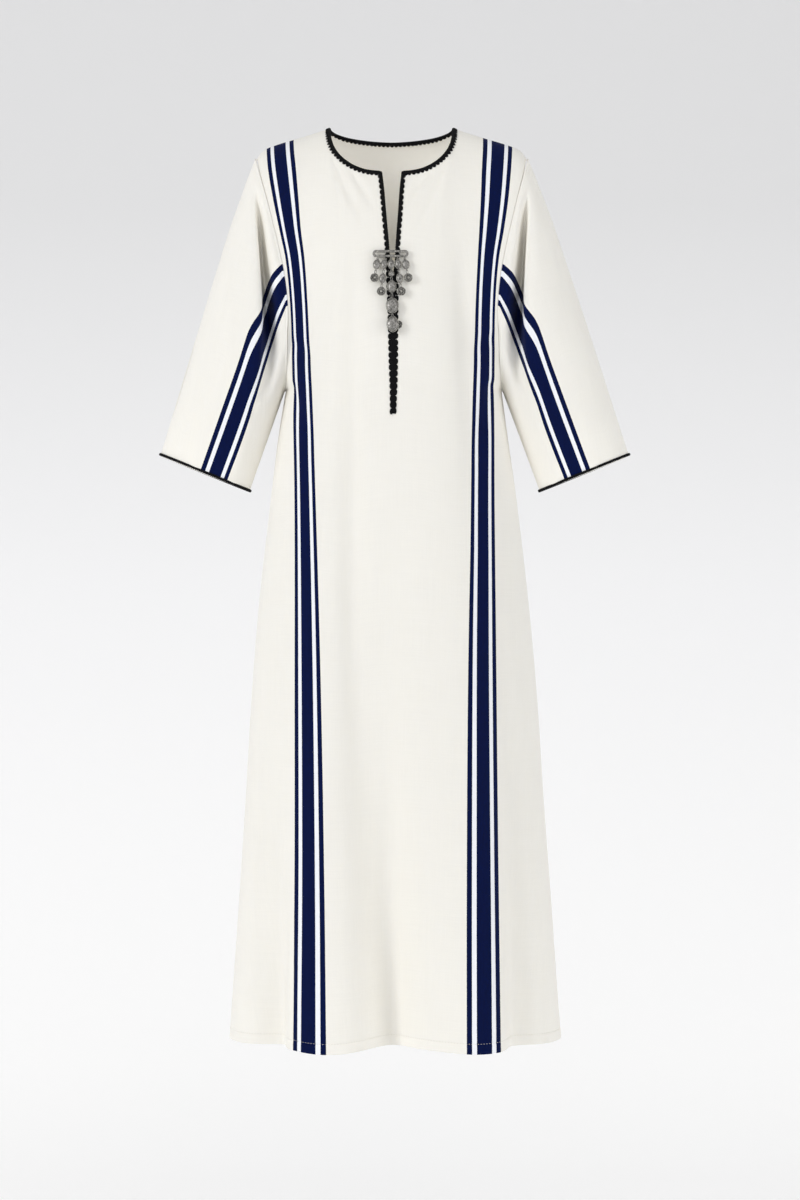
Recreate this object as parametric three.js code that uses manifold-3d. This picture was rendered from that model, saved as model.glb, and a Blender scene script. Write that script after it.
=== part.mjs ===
// A full-length woman's kaftan with set-in sleeves, in the hollow form that it takes when it is worn.
// Millimetres, +Z up. The front faces -Y, and +X is to the right when the front is seen.
// The origin lies midway between the two high shoulder points, where the garment hangs on its wearer.
import * as THREE from "three";
import { mergeVertices } from "three/addons/utils/BufferGeometryUtils.js";
import Module from "manifold-3d";

const wasm = await Module();
wasm.setup();

// Cloth and seams
const WALL = 1.6;
const SEAM_GAP = 0.4;
const FRONT = -1;
const BACK = 1;

// Heights are given as millimetres below the high shoulder points.
const SHOULDER_TOP = -2;
const SHOULDER_END_DOWN = 45;
const UNDERARM_DOWN = 395;
const SLIT_TIP_DOWN = 441;
const HEM_DOWN = 1375;
const NECK_HALF_WIDTH = 93;
const NECK = { [FRONT]: { drop: 73, power: 2.4 }, [BACK]: { drop: 15, power: 1.7 } };
const YOKE = { [FRONT]: { full: 3, round: 0.75 }, [BACK]: { full: 6, round: 0.5 } };
const SIDE_POWER = 2.3;

// Grid of the panels: columns across, and rows from the hem to the slit's tip, the underarm and the top.
const COLUMNS = 30;
const SKIRT_ROWS = 11;
const TIP_ROWS = 1;
const YOKE_ROWS = 14;
const SLEEVE_RINGS = 16;
const NECK_COLUMN = 0.5;
const HALVINGS = 40;

// Rings of the body below the underarm: centre line, half width, and depth before and behind the seams.
const BODY = [
  { down: 395, centre: 3.4, half: 163, front: 118, back: 104 },
  { down: 471, centre: 2.5, half: 174, front: 121, back: 108 },
  { down: 562, centre: 3.6, half: 186, front: 126, back: 114 },
  { down: 714, centre: 3.9, half: 203.7, front: 138, back: 126 },
  { down: 866, centre: 4.6, half: 216.6, front: 151, back: 138 },
  { down: 1018, centre: 4.9, half: 226, front: 164, back: 149 },
  { down: 1170, centre: 5.6, half: 236.5, front: 177, back: 159 },
  { down: 1322, centre: 5.6, half: 247, front: 187, back: 169 },
  { down: 1375, centre: 6, half: 251, front: 190, back: 172 },
];

// Armhole seen from the front: half width of the body at the seam.
const ARMHOLE = [
  { down: 45, half: 204.5 },
  { down: 71, half: 199.5 },
  { down: 127, half: 185 },
  { down: 212, half: 165.5 },
  { down: 272, half: 158 },
  { down: 331, half: 158.5 },
  { down: 395, half: 163 },
];
const ARMHOLE_DEPTH = { [FRONT]: 76, [BACK]: 70 };
const ARMHOLE_ROUND = 0.8;
const CHEST_BOW = 2.2;
const SIDE_TURN = 0.3;

// Shoulder line seen from the front.
const SHOULDER = [
  { half: 93, down: -2 },
  { half: 136, down: 12 },
  { half: 175, down: 24 },
  { half: 195, down: 33 },
  { half: 204.5, down: 45 },
];

// Half the gap between the two edges of the slit.
const SLIT = [
  { down: 60, half: 16.5 },
  { down: 100, half: 12 },
  { down: 140, half: 9 },
  { down: 170, half: 6.5 },
  { down: 200, half: 4.5 },
  { down: 300, half: 1.3 },
  { down: 441, half: 0 },
];
const SLIT_SPREAD = 0.3;

// Troughs in the skirt: place across at the waist and at the hem, depth at the hem, half width, and top.
const SKIRT_FOLDS = [
  { face: FRONT, waist: -25, hem: -4, depth: 78, width: 50, top: 430 },
  { face: FRONT, waist: -165, hem: -192, depth: 40, width: 24, top: 820 },
  { face: FRONT, waist: 158, hem: 192, depth: 30, width: 25, top: 520 },
  { face: BACK, waist: -62, hem: -92, depth: 52, width: 42, top: 480 },
  { face: BACK, waist: 58, hem: 74, depth: 44, width: 40, top: 560 },
  { face: BACK, waist: -168, hem: -196, depth: 26, width: 24, top: 760 },
  { face: BACK, waist: 166, hem: 194, depth: 28, width: 24, top: 690 },
];
const WAIST_DOWN = 562;
const FOLD_GROWTH = 1.3;
const HEM_LOBES = [
  { face: FRONT, at: -98, drop: 6, width: 48 },
  { face: FRONT, at: 126, drop: 6, width: 56 },
  { face: BACK, at: 0, drop: 3, width: 60 },
];

// Sleeves: the cuff's outer and inner ends, its depth, and the fold that hangs below the shoulder.
const CUFF_OUTER = { half: 354.5, down: 496 };
const CUFF_INNER = { half: 220.5, down: 549 };
const CUFF_DEPTH = 42;
const CUFF_FORWARD = 14;
const CUFF_CENTRE = 5;
const SLEEVE_SET = 1.2;
const UNDERARM_SET = 1.7;
const SLEEVE_ROUNDING = 5;
const SLEEVE_CROWDING = 1.5;
const SLEEVE_FOLD = [
  { down: 90, at: 198, depth: 0, width: 7 },
  { down: 130, at: 197, depth: 10, width: 8 },
  { down: 180, at: 195, depth: 24, width: 9 },
  { down: 225, at: 192, depth: 31, width: 11 },
  { down: 275, at: 188, depth: 30, width: 13 },
  { down: 330, at: 186, depth: 20, width: 14 },
  { down: 390, at: 190, depth: 6, width: 14 },
  { down: 420, at: 194, depth: 0, width: 14 },
];
const FOLD_SHARE = { [FRONT]: 1, [BACK]: 0.6 };
const FOLD_RUN_IN = 0.06;
const CRISP_EDGE = 0.75;
const SWELL_POWER = 0.6;
const ROUND_TURNS = 1.5;
const ARM_ROUND = { [FRONT]: 16, [BACK]: 14 };

// Braids
const BRAID_WIDTH = 5;
const BRAID_THICK = 2.3;
const BRAID_INSET = 2.8;
const BRAID_CLEAR = 0.45;
const BRAID_CREST = 0.32;
const SCALLOP_PITCH = 9.3;
const SCALLOP_RELIEF = 1.1;
const BRAID_STEP = SCALLOP_PITCH / 2;
// Ends of the braid's line: rows above the slit's tip and below the neck, and parts of the half width.
const SLIT_BRAID = { above: 0.15, below: 0.35, steps: 32 };
const NECK_BRAID = { corner: 0.06, steps: 11 };
const BACK_BRAID = { end: 0.03, steps: 20 };
const CUFF_BRAID_WIDTH = 4;
const CUFF_BRAID_THICK = 2;
const CUFF_BRAID_AT = 0.995;

// Clasp: a slotted bar, with drops on five strands below it. Each piece hangs from the eye above by a ring.
const BAR = { x: -1, y: -113.4, down: 199.5, length: 54, height: 11.3, slot: 3.4, slotLength: 43, thick: 4 };
const CLASP_LEAN = THREE.MathUtils.degToRad(8);
const RING = { radius: 1.3, wire: 0.45, sides: 4, steps: 8 };
const EYE_FORWARD = 1.4;
const EYE_SINK = 0.85;
const EYE_BITE = 0.05;
const EYE_Z = -BAR.height / 2 - RING.radius + RING.wire - EYE_BITE;
const CAP_SINK = 0.3;
const DROP_SIDES = 10;
const DROP_LEVELS = 7;
const COIN_SIDES = 18;
const BAR_SEGMENTS = 7;
const DROPS = {
  outer: { width: 11.2, height: 16, depth: 6, link: 2.6 },
  inner: { width: 10, height: 15, depth: 6, link: 2.6 },
  seed: { width: 7.6, height: 7.6, depth: 5.5, link: 2.6 },
  olive: { width: 9.8, height: 15, depth: 5.5, link: 5.9 },
  centre: { width: 13.2, height: 18.5, depth: 6.5, link: 5.8 },
  large: { width: 19, height: 24, depth: 7, link: 7 },
  last: { width: 18.8, height: 25, depth: 6.5, link: 3.2 },
  coin: { width: 13.4, height: 13.4, depth: 1.8, link: 5.2 },
};
const STRANDS = [
  { x: -18.9, fan: 9, drops: ["outer", "coin"] },
  { x: -8.5, fan: 6, drops: ["inner", "olive", "coin"] },
  { x: 0.6, fan: -1.5, drops: ["inner", "seed", "centre", "large", "last"] },
  { x: 10.1, fan: -6.5, drops: ["inner", "olive", "coin"] },
  { x: 20.8, fan: -10, drops: ["outer", "coin"] },
];

const IVORY = new THREE.MeshStandardMaterial({ color: 0xf3f0e7, roughness: 0.85, metalness: 0 });
const BLACK_BRAID = new THREE.MeshStandardMaterial({ color: 0x0b0b10, roughness: 0.8, metalness: 0 });
const PEWTER = new THREE.MeshStandardMaterial({ color: 0x77777a, roughness: 0.4, metalness: 0.9 });

const { clamp, lerp, smoothstep } = THREE.MathUtils;

// One column of a table, read along a smooth curve through its rows.
function read(rows, key, name, at) {
  const last = rows.length - 1;
  const place = clamp(at, rows[0][key], rows[last][key]);
  let i = 0;
  while (i < last - 1 && place > rows[i + 1][key]) i += 1;
  const slope = (a, b) => (rows[b][name] - rows[a][name]) / (rows[b][key] - rows[a][key]);
  const step = rows[i + 1][key] - rows[i][key];
  const start = slope(Math.max(i - 1, 0), i + 1) * step;
  const end = slope(i, Math.min(i + 2, last)) * step;
  const t = (place - rows[i][key]) / step;
  const rise = t * t * (3 - 2 * t);
  const bend = t * (1 - t) * ((1 - t) * start - t * end);
  return lerp(rows[i][name], rows[i + 1][name], rise) + bend;
}

const bell = (distance, width) => Math.exp(-((distance / width) ** 2));

// How far a skirt fold pushes the cloth in at a place.
function skirtFold(face, x, down) {
  let push = 0;
  for (const fold of SKIRT_FOLDS) {
    if (fold.face !== face) continue;
    const along = clamp((down - fold.top) / (HEM_DOWN - fold.top), 0, 1);
    const at = lerp(fold.waist, fold.hem, (down - WAIST_DOWN) / (HEM_DOWN - WAIST_DOWN));
    push += fold.depth * along ** FOLD_GROWTH * bell(x - at, fold.width);
  }
  return push;
}

function hemDrop(face, x, down) {
  const along = clamp((down - UNDERARM_DOWN) / (HEM_DOWN - UNDERARM_DOWN), 0, 1);
  let drop = 0;
  for (const lobe of HEM_LOBES) {
    if (lobe.face === face) drop += lobe.drop * bell(x - lobe.at, lobe.width);
  }
  return drop * along ** 2;
}

// A point of the body below the underarm; across runs from -1 to 1 between the side seams.
function skirtPoint(face, across, down) {
  const angle = across * Math.PI / 2;
  const half = read(BODY, "down", "half", down);
  const centre = read(BODY, "down", "centre", down);
  const depth = read(BODY, "down", face === FRONT ? "front" : "back", down);
  const side = Math.sign(angle) * Math.abs(Math.sin(angle)) ** (2 / SIDE_POWER);
  const out = Math.max(Math.cos(angle), 0) ** (2 / SIDE_POWER);
  const normal = new THREE.Vector2(side / half, face * out / depth).normalize();
  const x = half * side;
  const push = skirtFold(face, x, down);
  const low = down + hemDrop(face, x, down);
  return new THREE.Vector3(centre + x - normal.x * push, face * depth * out - normal.y * push, -low);
}

const bodyCentre = (down) => down < UNDERARM_DOWN
  ? lerp(0, BODY[0].centre, clamp(down / UNDERARM_DOWN, 0, 1))
  : read(BODY, "down", "centre", down);

// A point of the armhole seam; rise runs from 0 at the underarm to 1 at the shoulder.
function armholePoint(face, side, rise) {
  const middle = (UNDERARM_DOWN + SHOULDER_END_DOWN) / 2;
  const reach = (UNDERARM_DOWN - SHOULDER_END_DOWN) / 2;
  const down = middle + reach * Math.cos(Math.PI * rise);
  const half = read(ARMHOLE, "down", "half", down);
  const depth = ARMHOLE_DEPTH[face] * Math.sin(Math.PI * rise) ** ARMHOLE_ROUND;
  return new THREE.Vector3(side * half + bodyCentre(down), face * depth, -down);
}

// A point above the underarm, on the full shoulder before the neck is cut out of it.
function yokePoint(face, across, rise) {
  const reach = Math.abs(across);
  const side = Math.sign(across) || 1;
  const edge = armholePoint(face, side, rise);
  const share = Math.sin(rise * Math.PI / 2);
  const depth = BODY[0][face === FRONT ? "front" : "back"];
  const middleY = face * depth * (1 - share ** YOKE[face].full) ** YOKE[face].round;
  const middleDown = lerp(UNDERARM_DOWN, SHOULDER_TOP, share);
  const low = Math.sin(reach * Math.PI / 2) ** (2 / SIDE_POWER);
  const shoulderHalf = reach < NECK_COLUMN
    ? NECK_HALF_WIDTH * Math.sin(reach / NECK_COLUMN * Math.PI / 2) ** (2 / NECK[face].power)
    : lerp(NECK_HALF_WIDTH, ARMHOLE[0].half, (reach - NECK_COLUMN) / (1 - NECK_COLUMN));
  const part = lerp(low, shoulderHalf / ARMHOLE[0].half, rise);
  const x = lerp(bodyCentre(middleDown), edge.x, part);
  const upright = (1 - low ** SIDE_POWER) ** (1 / SIDE_POWER);
  const bowed = 1 - part ** CHEST_BOW;
  const round = lerp(upright, bowed, smoothstep(rise, 0, SIDE_TURN));
  const y = edge.y + (middleY - edge.y) * round;
  const slope = (read(SHOULDER, "half", "down", Math.max(part * ARMHOLE[0].half, NECK_HALF_WIDTH))
    - SHOULDER_TOP) / (SHOULDER_END_DOWN - SHOULDER_TOP);
  return new THREE.Vector3(x, y, lerp(-middleDown, edge.z, slope));
}

function neckDown(face, x) {
  const { drop, power } = NECK[face];
  const share = clamp(Math.abs(x) / NECK_HALF_WIDTH, 0, 1);
  return SHOULDER_TOP + drop * (1 - share ** power) ** (1 / power);
}

// How far up a column the neckline cuts it.
function columnTop(face, across) {
  if (Math.abs(across) >= NECK_COLUMN) return 1;
  let low = 0;
  let high = 1;
  for (let i = 0; i < HALVINGS; i += 1) {
    const middle = (low + high) / 2;
    const point = yokePoint(face, across, middle);
    if (-point.z > neckDown(face, point.x)) low = middle;
    else high = middle;
  }
  return low;
}

const TOP_ROW = SKIRT_ROWS + TIP_ROWS + YOKE_ROWS;
const TIP_ROW = SKIRT_ROWS;

// A point of a panel; row runs from 0 at the hem to TOP_ROW, and half is the side of the slit.
function panelPoint(face, across, row, half = 0) {
  const down = row <= TIP_ROW
    ? lerp(HEM_DOWN, SLIT_TIP_DOWN, row / TIP_ROW)
    : lerp(SLIT_TIP_DOWN, UNDERARM_DOWN, (row - TIP_ROW) / TIP_ROWS);
  const above = (row - SKIRT_ROWS - TIP_ROWS) / YOKE_ROWS;
  const point = above <= 0
    ? skirtPoint(face, across, down)
    : yokePoint(face, across, above * columnTop(face, across));
  if (face === FRONT && row > TIP_ROW) {
    const near = clamp(1 - Math.abs(across) / SLIT_SPREAD, 0, 1) ** 2;
    const side = half || Math.sign(across);
    point.x += side * near * (read(SLIT, "down", "half", -point.z));
  }
  point.y += face * SEAM_GAP / 2;
  return point;
}

// Outward normals of a mesh of faces, with the rims of side and shoulder seams square to the seam.
function normalsOf(points, faces) {
  const normals = points.map(() => new THREE.Vector3());
  for (const [a, b, c] of faces) {
    const one = points[b].clone().sub(points[a]);
    const two = points[c].clone().sub(points[a]);
    const face = one.cross(two);
    for (const i of [a, b, c]) normals[i].add(face);
  }
  points.forEach((point, i) => {
    if (Math.abs(Math.abs(point.y) - SEAM_GAP / 2) < 1e-6) normals[i].y = 0;
    normals[i].normalize();
  });
  return normals;
}

function geometryOf(points, faces) {
  const geometry = new THREE.BufferGeometry();
  const positions = points.flatMap((p) => [p.x, p.y, p.z]);
  geometry.setAttribute("position", new THREE.Float32BufferAttribute(positions, 3));
  geometry.setIndex(faces.flat());
  geometry.computeVertexNormals();
  return geometry;
}

// A closed wall of cloth on an open surface: both sides, and a rim along every free edge.
function wall(points, faces) {
  const normals = normalsOf(points, faces);
  const count = points.length;
  const side = (sign) => points.map((p, i) => p.clone().addScaledVector(normals[i], sign * WALL / 2));
  const all = [...side(1), ...side(-1)];
  const edges = new Set();
  for (const [a, b, c] of faces) {
    for (const [from, to] of [[a, b], [b, c], [c, a]]) edges.add(`${from},${to}`);
  }
  const closed = [...faces, ...faces.map(([a, b, c]) => [a + count, c + count, b + count])];
  for (const edge of edges) {
    const [a, b] = edge.split(",").map(Number);
    if (edges.has(`${b},${a}`)) continue;
    closed.push([b, a, a + count], [b, a + count, b + count]);
  }
  return geometryOf(all, closed);
}

// Faces of a grid of rows and columns, whose point numbers come from a function.
function gridFaces(rows, columns, number, flip) {
  const faces = [];
  for (let i = 0; i < rows; i += 1) {
    for (let j = 0; j < columns; j += 1) {
      const [a, b] = [number(i, j, 1), number(i, j + 1, -1)];
      const [c, d] = [number(i + 1, j + 1, -1), number(i + 1, j, 1)];
      const pair = (i + j) % 2 ? [[a, b, c], [a, c, d]] : [[a, b, d], [b, c, d]];
      for (const [p, q, r] of pair) faces.push(flip ? [p, r, q] : [p, q, r]);
    }
  }
  return faces;
}

function panel(face) {
  const points = [];
  const numbers = new Map();
  const middle = COLUMNS / 2;
  const number = (i, j, toward) => {
    const split = face === FRONT && j === middle && i > TIP_ROW;
    const key = `${i},${j},${split ? toward : 0}`;
    if (!numbers.has(key)) {
      numbers.set(key, points.length);
      points.push(panelPoint(face, 2 * j / COLUMNS - 1, i, split ? toward : 0));
    }
    return numbers.get(key);
  };
  return wall(points, gridFaces(TOP_ROW, COLUMNS, number, face === BACK));
}

// The fold in a sleeve: how far the cloth is pushed in at a place seen from the front.
function sleeveFold(face, half, down) {
  const at = read(SLEEVE_FOLD, "down", "at", down);
  const depth = read(SLEEVE_FOLD, "down", "depth", down);
  const width = read(SLEEVE_FOLD, "down", "width", down);
  const crisp = half > at ? CRISP_EDGE : 1;
  return FOLD_SHARE[face] * depth * bell(half - at, width * crisp);
}

// A point of a sleeve: turn runs from 0 at the top down one face to 1 at the inner edge, along from the
// armhole to the cuff.
function sleevePoint(side, face, turn, along) {
  const seam = armholePoint(face, side, 1 - turn);
  seam.x += side * (SLEEVE_SET + UNDERARM_SET * turn ** 4);
  const sweep = (1 - Math.cos(Math.PI * turn)) / 2;
  const cuff = new THREE.Vector3(
    CUFF_CENTRE + side * lerp(CUFF_OUTER.half, CUFF_INNER.half, sweep),
    face * CUFF_DEPTH * Math.sin(Math.PI * turn) - CUFF_FORWARD,
    -lerp(CUFF_OUTER.down, CUFF_INNER.down, sweep),
  );
  const point = seam.lerp(cuff, along);
  const swell = Math.sin(Math.PI * along ** SWELL_POWER);
  point.x += side * SLEEVE_ROUNDING * swell * (1 - turn) ** 2;
  point.y += face * ARM_ROUND[face] * Math.sin(Math.PI * Math.min(turn * ROUND_TURNS, 1)) * swell;
  const half = side * (point.x - bodyCentre(-point.z));
  const ready = smoothstep(along, 0, FOLD_RUN_IN) * Math.sin(Math.PI * turn) ** 0.5;
  point.y -= face * sleeveFold(face, half, -point.z) * ready;
  return point;
}

const sleeveAlong = (ring) => (ring / SLEEVE_RINGS) ** SLEEVE_CROWDING;

// The turn and the face of the j-th point round a sleeve.
function sleeveTurn(j) {
  const step = j % (2 * YOKE_ROWS);
  return step <= YOKE_ROWS
    ? { face: FRONT, turn: step / YOKE_ROWS }
    : { face: BACK, turn: 2 - step / YOKE_ROWS };
}

function sleeve(side) {
  const round = 2 * YOKE_ROWS;
  const points = [];
  for (let i = 0; i <= SLEEVE_RINGS; i += 1) {
    for (let j = 0; j < round; j += 1) {
      const { face, turn } = sleeveTurn(j);
      points.push(sleevePoint(side, face, turn, sleeveAlong(i)));
    }
  }
  const number = (i, j) => i * round + (j % round);
  return wall(points, gridFaces(SLEEVE_RINGS, round, number, side < 0));
}

// A strip along a line of frames, each with a centre, an across and an out direction.
function strip(frames, sectionAt, closed) {
  const points = [];
  frames.forEach((frame, k) => {
    for (const [u, v] of sectionAt(k)) {
      points.push(frame.centre.clone().addScaledVector(frame.across, u).addScaledVector(frame.out, v));
    }
  });
  const sides = sectionAt(0).length;
  const steps = closed ? frames.length : frames.length - 1;
  const faces = [];
  for (let k = 0; k < steps; k += 1) {
    const next = ((k + 1) % frames.length) * sides;
    for (let s = 0; s < sides; s += 1) {
      const t = (s + 1) % sides;
      faces.push([k * sides + s, k * sides + t, next + t], [k * sides + s, next + t, next + s]);
    }
  }
  if (!closed) {
    const end = (frames.length - 1) * sides;
    for (let s = 1; s < sides - 1; s += 1) {
      faces.push([0, s + 1, s], [end, end + s, end + s + 1]);
    }
  }
  return geometryOf(points, faces);
}

// A braid's flat section, narrower on top, as points across and out.
const braidSection = (width, thick) => [
  [-width / 2, -thick / 2],
  [width / 2, -thick / 2],
  [width * BRAID_CREST, thick / 2],
  [-width * BRAID_CREST, thick / 2],
];

// The outward direction of a panel at a column and row, from the body without its neckline.
function panelNormal(face, across, row) {
  const small = 0.02;
  const above = (row - SKIRT_ROWS - TIP_ROWS) / YOKE_ROWS;
  const rise = above * columnTop(face, across);
  const at = (u, v) => above <= 0
    ? panelPoint(face, u, v * YOKE_ROWS + row)
    : yokePoint(face, u, Math.max(v + rise, 0));
  const aside = at(across + small, 0).sub(at(across - small, 0));
  const down = at(across, -small).sub(at(across, 0));
  return aside.cross(down).multiplyScalar(face).normalize();
}

// The place, outward direction and direction into the cloth on an edge of a panel. The slit runs along a
// column, and the neck along the top row.
function edgeFrame(face, across, row, half, isSlit) {
  const small = 0.02;
  const centre = panelPoint(face, across, row, half);
  const out = panelNormal(face, across, row);
  const ahead = isSlit
    ? panelPoint(face, across, row - small, half).sub(centre)
    : centre.clone().sub(panelPoint(face, across - half * small, row, half)).multiplyScalar(-face);
  const inward = ahead.cross(out).multiplyScalar(half).normalize();
  return { centre, out, inward: isSlit ? inward.negate() : inward };
}

// Even steps from one value to another, both ends included.
const stepsBetween = (from, to, count) =>
  Array.from({ length: count + 1 }, (_, k) => lerp(from, to, k / count));

// Line of the braid: up the left edge of the slit, round the neck, and down the right edge.
function neckLine() {
  const lift = WALL / 2 + BRAID_CLEAR + BRAID_THICK / 2;
  const place = (frame) => ({
    point: frame.centre.addScaledVector(frame.out, lift).addScaledVector(frame.inward, BRAID_INSET),
    out: frame.out,
  });
  const side = (half) => {
    const low = TIP_ROW + SLIT_BRAID.above;
    const slit = stepsBetween(low, TOP_ROW - SLIT_BRAID.below, SLIT_BRAID.steps)
      .map((row) => place(edgeFrame(FRONT, 0, row, half, true)));
    const neck = stepsBetween(NECK_BRAID.corner, NECK_COLUMN, NECK_BRAID.steps)
      .map((across) => place(edgeFrame(FRONT, half * across, TOP_ROW, half, false)));
    return [...slit, ...neck];
  };
  const end = NECK_COLUMN - BACK_BRAID.end;
  const back = stepsBetween(-end, end, BACK_BRAID.steps)
    .map((across) => place(edgeFrame(BACK, across, TOP_ROW, Math.sign(across) || 1, false)));
  return [...side(-1), ...back, ...side(1).reverse()];
}

function neckBraid() {
  const line = neckLine();
  const curve = new THREE.CatmullRomCurve3(line.map((k) => k.point), false, "centripetal");
  const steps = Math.round(curve.getLength() / BRAID_STEP / 2) * 2;
  curve.arcLengthDivisions = line.length * 12;
  curve.updateArcLengths();
  const frames = [];
  for (let k = 0; k <= steps; k += 1) {
    const t = curve.getUtoTmapping(k / steps);
    const place = t * (line.length - 1);
    const low = Math.min(Math.floor(place), line.length - 2);
    const out = line[low].out.clone().lerp(line[low + 1].out, place - low).normalize();
    const ahead = curve.getTangent(t);
    const across = out.clone().cross(ahead).normalize();
    frames.push({ centre: curve.getPoint(t), across, out });
  }
  const sectionAt = (k) => braidSection(BRAID_WIDTH + (k % 2 ? SCALLOP_RELIEF : 0), BRAID_THICK);
  return strip(frames, sectionAt, false);
}

function cuffBraid(side) {
  const round = 2 * YOKE_ROWS;
  const lift = WALL / 2 + BRAID_CLEAR + CUFF_BRAID_THICK / 2;
  const centres = [];
  for (let j = 0; j < round; j += 1) {
    const { face, turn } = sleeveTurn(j);
    centres.push(sleevePoint(side, face, turn, CUFF_BRAID_AT));
  }
  const above = (j) => {
    const { face, turn } = sleeveTurn(j);
    return sleevePoint(side, face, turn, CUFF_BRAID_AT - 0.03);
  };
  const frames = centres.map((centre, j) => {
    const ahead = centres[(j + 1) % round].clone().sub(centres[(j + round - 1) % round]).normalize();
    const up = above(j).sub(centre).normalize();
    const out = up.cross(ahead).multiplyScalar(side).normalize();
    const across = out.clone().cross(ahead).normalize();
    return { centre: centre.clone().addScaledVector(out, lift), across, out };
  });
  return strip(frames, () => braidSection(CUFF_BRAID_WIDTH, CUFF_BRAID_THICK), true);
}

// Joins closed geometries into one solid.
function fuse(geometries) {
  const solids = geometries.map((geometry) => {
    const bare = geometry.clone();
    bare.deleteAttribute("normal");
    bare.deleteAttribute("uv");
    const merged = mergeVertices(bare, 1e-4);
    return new wasm.Manifold(new wasm.Mesh({
      numProp: 3,
      vertProperties: new Float32Array(merged.attributes.position.array),
      triVerts: new Uint32Array(merged.index.array),
    }));
  });
  const mesh = solids.reduce((whole, solid) => whole.add(solid)).getMesh();
  const geometry = new THREE.BufferGeometry();
  geometry.setAttribute("position", new THREE.BufferAttribute(mesh.vertProperties, 3));
  geometry.setIndex(new THREE.BufferAttribute(mesh.triVerts, 1));
  geometry.computeVertexNormals();
  return geometry;
}

// A wire ring: an eye turns its hole to the side, and a link turns its hole to the front. The lower half of a
// link longer than it is wide is drawn down.
function wireRing(isEye, z, length = 2 * RING.radius) {
  const torus = new THREE.TorusGeometry(RING.radius, RING.wire, RING.sides, RING.steps);
  if (isEye) torus.rotateY(Math.PI / 2);
  else torus.rotateX(Math.PI / 2);
  const at = torus.attributes.position;
  for (let i = 0; i < at.count; i += 1) {
    if (at.getZ(i) < -RING.wire) at.setZ(i, at.getZ(i) - length + 2 * RING.radius);
  }
  return torus.translate(0, 0, z);
}

// The flat slotted bar, with an eye under it for each strand.
function clasp() {
  const half = BAR.height / 2;
  const straight = BAR.length / 2 - half;
  const shape = new THREE.Shape();
  shape.absarc(straight, 0, half, -Math.PI / 2, Math.PI / 2, false);
  shape.absarc(-straight, 0, half, Math.PI / 2, 3 * Math.PI / 2, false);
  const slotStraight = BAR.slotLength / 2 - BAR.slot / 2;
  const slot = new THREE.Path();
  slot.absarc(slotStraight, 0, BAR.slot / 2, Math.PI / 2, -Math.PI / 2, true);
  slot.absarc(-slotStraight, 0, BAR.slot / 2, 3 * Math.PI / 2, Math.PI / 2, true);
  shape.holes.push(slot);
  const plate = new THREE.ExtrudeGeometry(shape, {
    depth: BAR.thick,
    bevelEnabled: false,
    curveSegments: BAR_SEGMENTS,
  });
  plate.translate(0, 0, -BAR.thick / 2).rotateX(Math.PI / 2);
  const eyes = STRANDS.map((strand) => wireRing(true, EYE_Z).translate(strand.x, -EYE_FORWARD, 0));
  return fuse([plate, ...eyes]);
}

// How far below its own eye a drop carries the next one.
const dropReach = (form) => form.link + form.height - CAP_SINK + EYE_SINK;

// A drop, with its link above and an eye below where another piece hangs from it. It starts at the middle
// of the eye that it hangs on.
function drop(form, hasEye) {
  const top = -form.link + CAP_SINK;
  const isCoin = form === DROPS.coin;
  const body = isCoin
    ? new THREE.CylinderGeometry(form.width / 2, form.width / 2, form.depth, COIN_SIDES)
    : new THREE.SphereGeometry(0.5, DROP_SIDES, DROP_LEVELS)
      .rotateX(Math.PI / 2)
      .scale(form.width, form.depth, form.height);
  body.translate(0, 0, top - form.height / 2);
  const pieces = [body, wireRing(false, -RING.radius, form.link)];
  if (hasEye) pieces.push(wireRing(true, -dropReach(form)));
  return fuse(pieces);
}

const kaftan = new THREE.Group();

function place(group, name, geometry, material) {
  const mesh = new THREE.Mesh(geometry, material);
  mesh.name = name;
  group.add(mesh);
  return mesh;
}

place(kaftan, "front_panel", panel(FRONT), IVORY);
place(kaftan, "back_panel", panel(BACK), IVORY);
place(kaftan, "sleeve_left", sleeve(-1), IVORY);
place(kaftan, "sleeve_right", sleeve(1), IVORY);
place(kaftan, "neck_braid", neckBraid(), BLACK_BRAID);
place(kaftan, "cuff_braid_left", cuffBraid(-1), BLACK_BRAID);
place(kaftan, "cuff_braid_right", cuffBraid(1), BLACK_BRAID);

const claspGroup = new THREE.Group();
claspGroup.position.set(BAR.x, BAR.y, -BAR.down);
claspGroup.rotation.x = -CLASP_LEAN;
kaftan.add(claspGroup);
place(claspGroup, "clasp_bar", clasp(), PEWTER);
STRANDS.forEach((strand, s) => {
  const eye = new THREE.Vector3(strand.x, -EYE_FORWARD, EYE_Z);
  const fan = THREE.MathUtils.degToRad(strand.fan);
  strand.drops.forEach((kind, k) => {
    const form = DROPS[kind];
    const isLast = k === strand.drops.length - 1;
    const mesh = place(claspGroup, `strand_${s + 1}_${kind}`, drop(form, !isLast), PEWTER);
    mesh.position.copy(eye);
    mesh.rotation.y = fan;
    eye.add(new THREE.Vector3(-Math.sin(fan), 0, -Math.cos(fan)).multiplyScalar(dropReach(form)));
  });
});

export default kaftan;
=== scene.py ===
"""A full-length kaftan with striped cloth, braided edges and a metal clasp, dressed for its render.

Surfaces are worked out in millimetres in the frame's axes: +Z up, the front facing -Y, the origin midway
between the two high shoulder points. "down" is a height in millimetres below them.
"""

import math

import bmesh
import bpy
import numpy as np
from mathutils import Matrix, Vector


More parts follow.
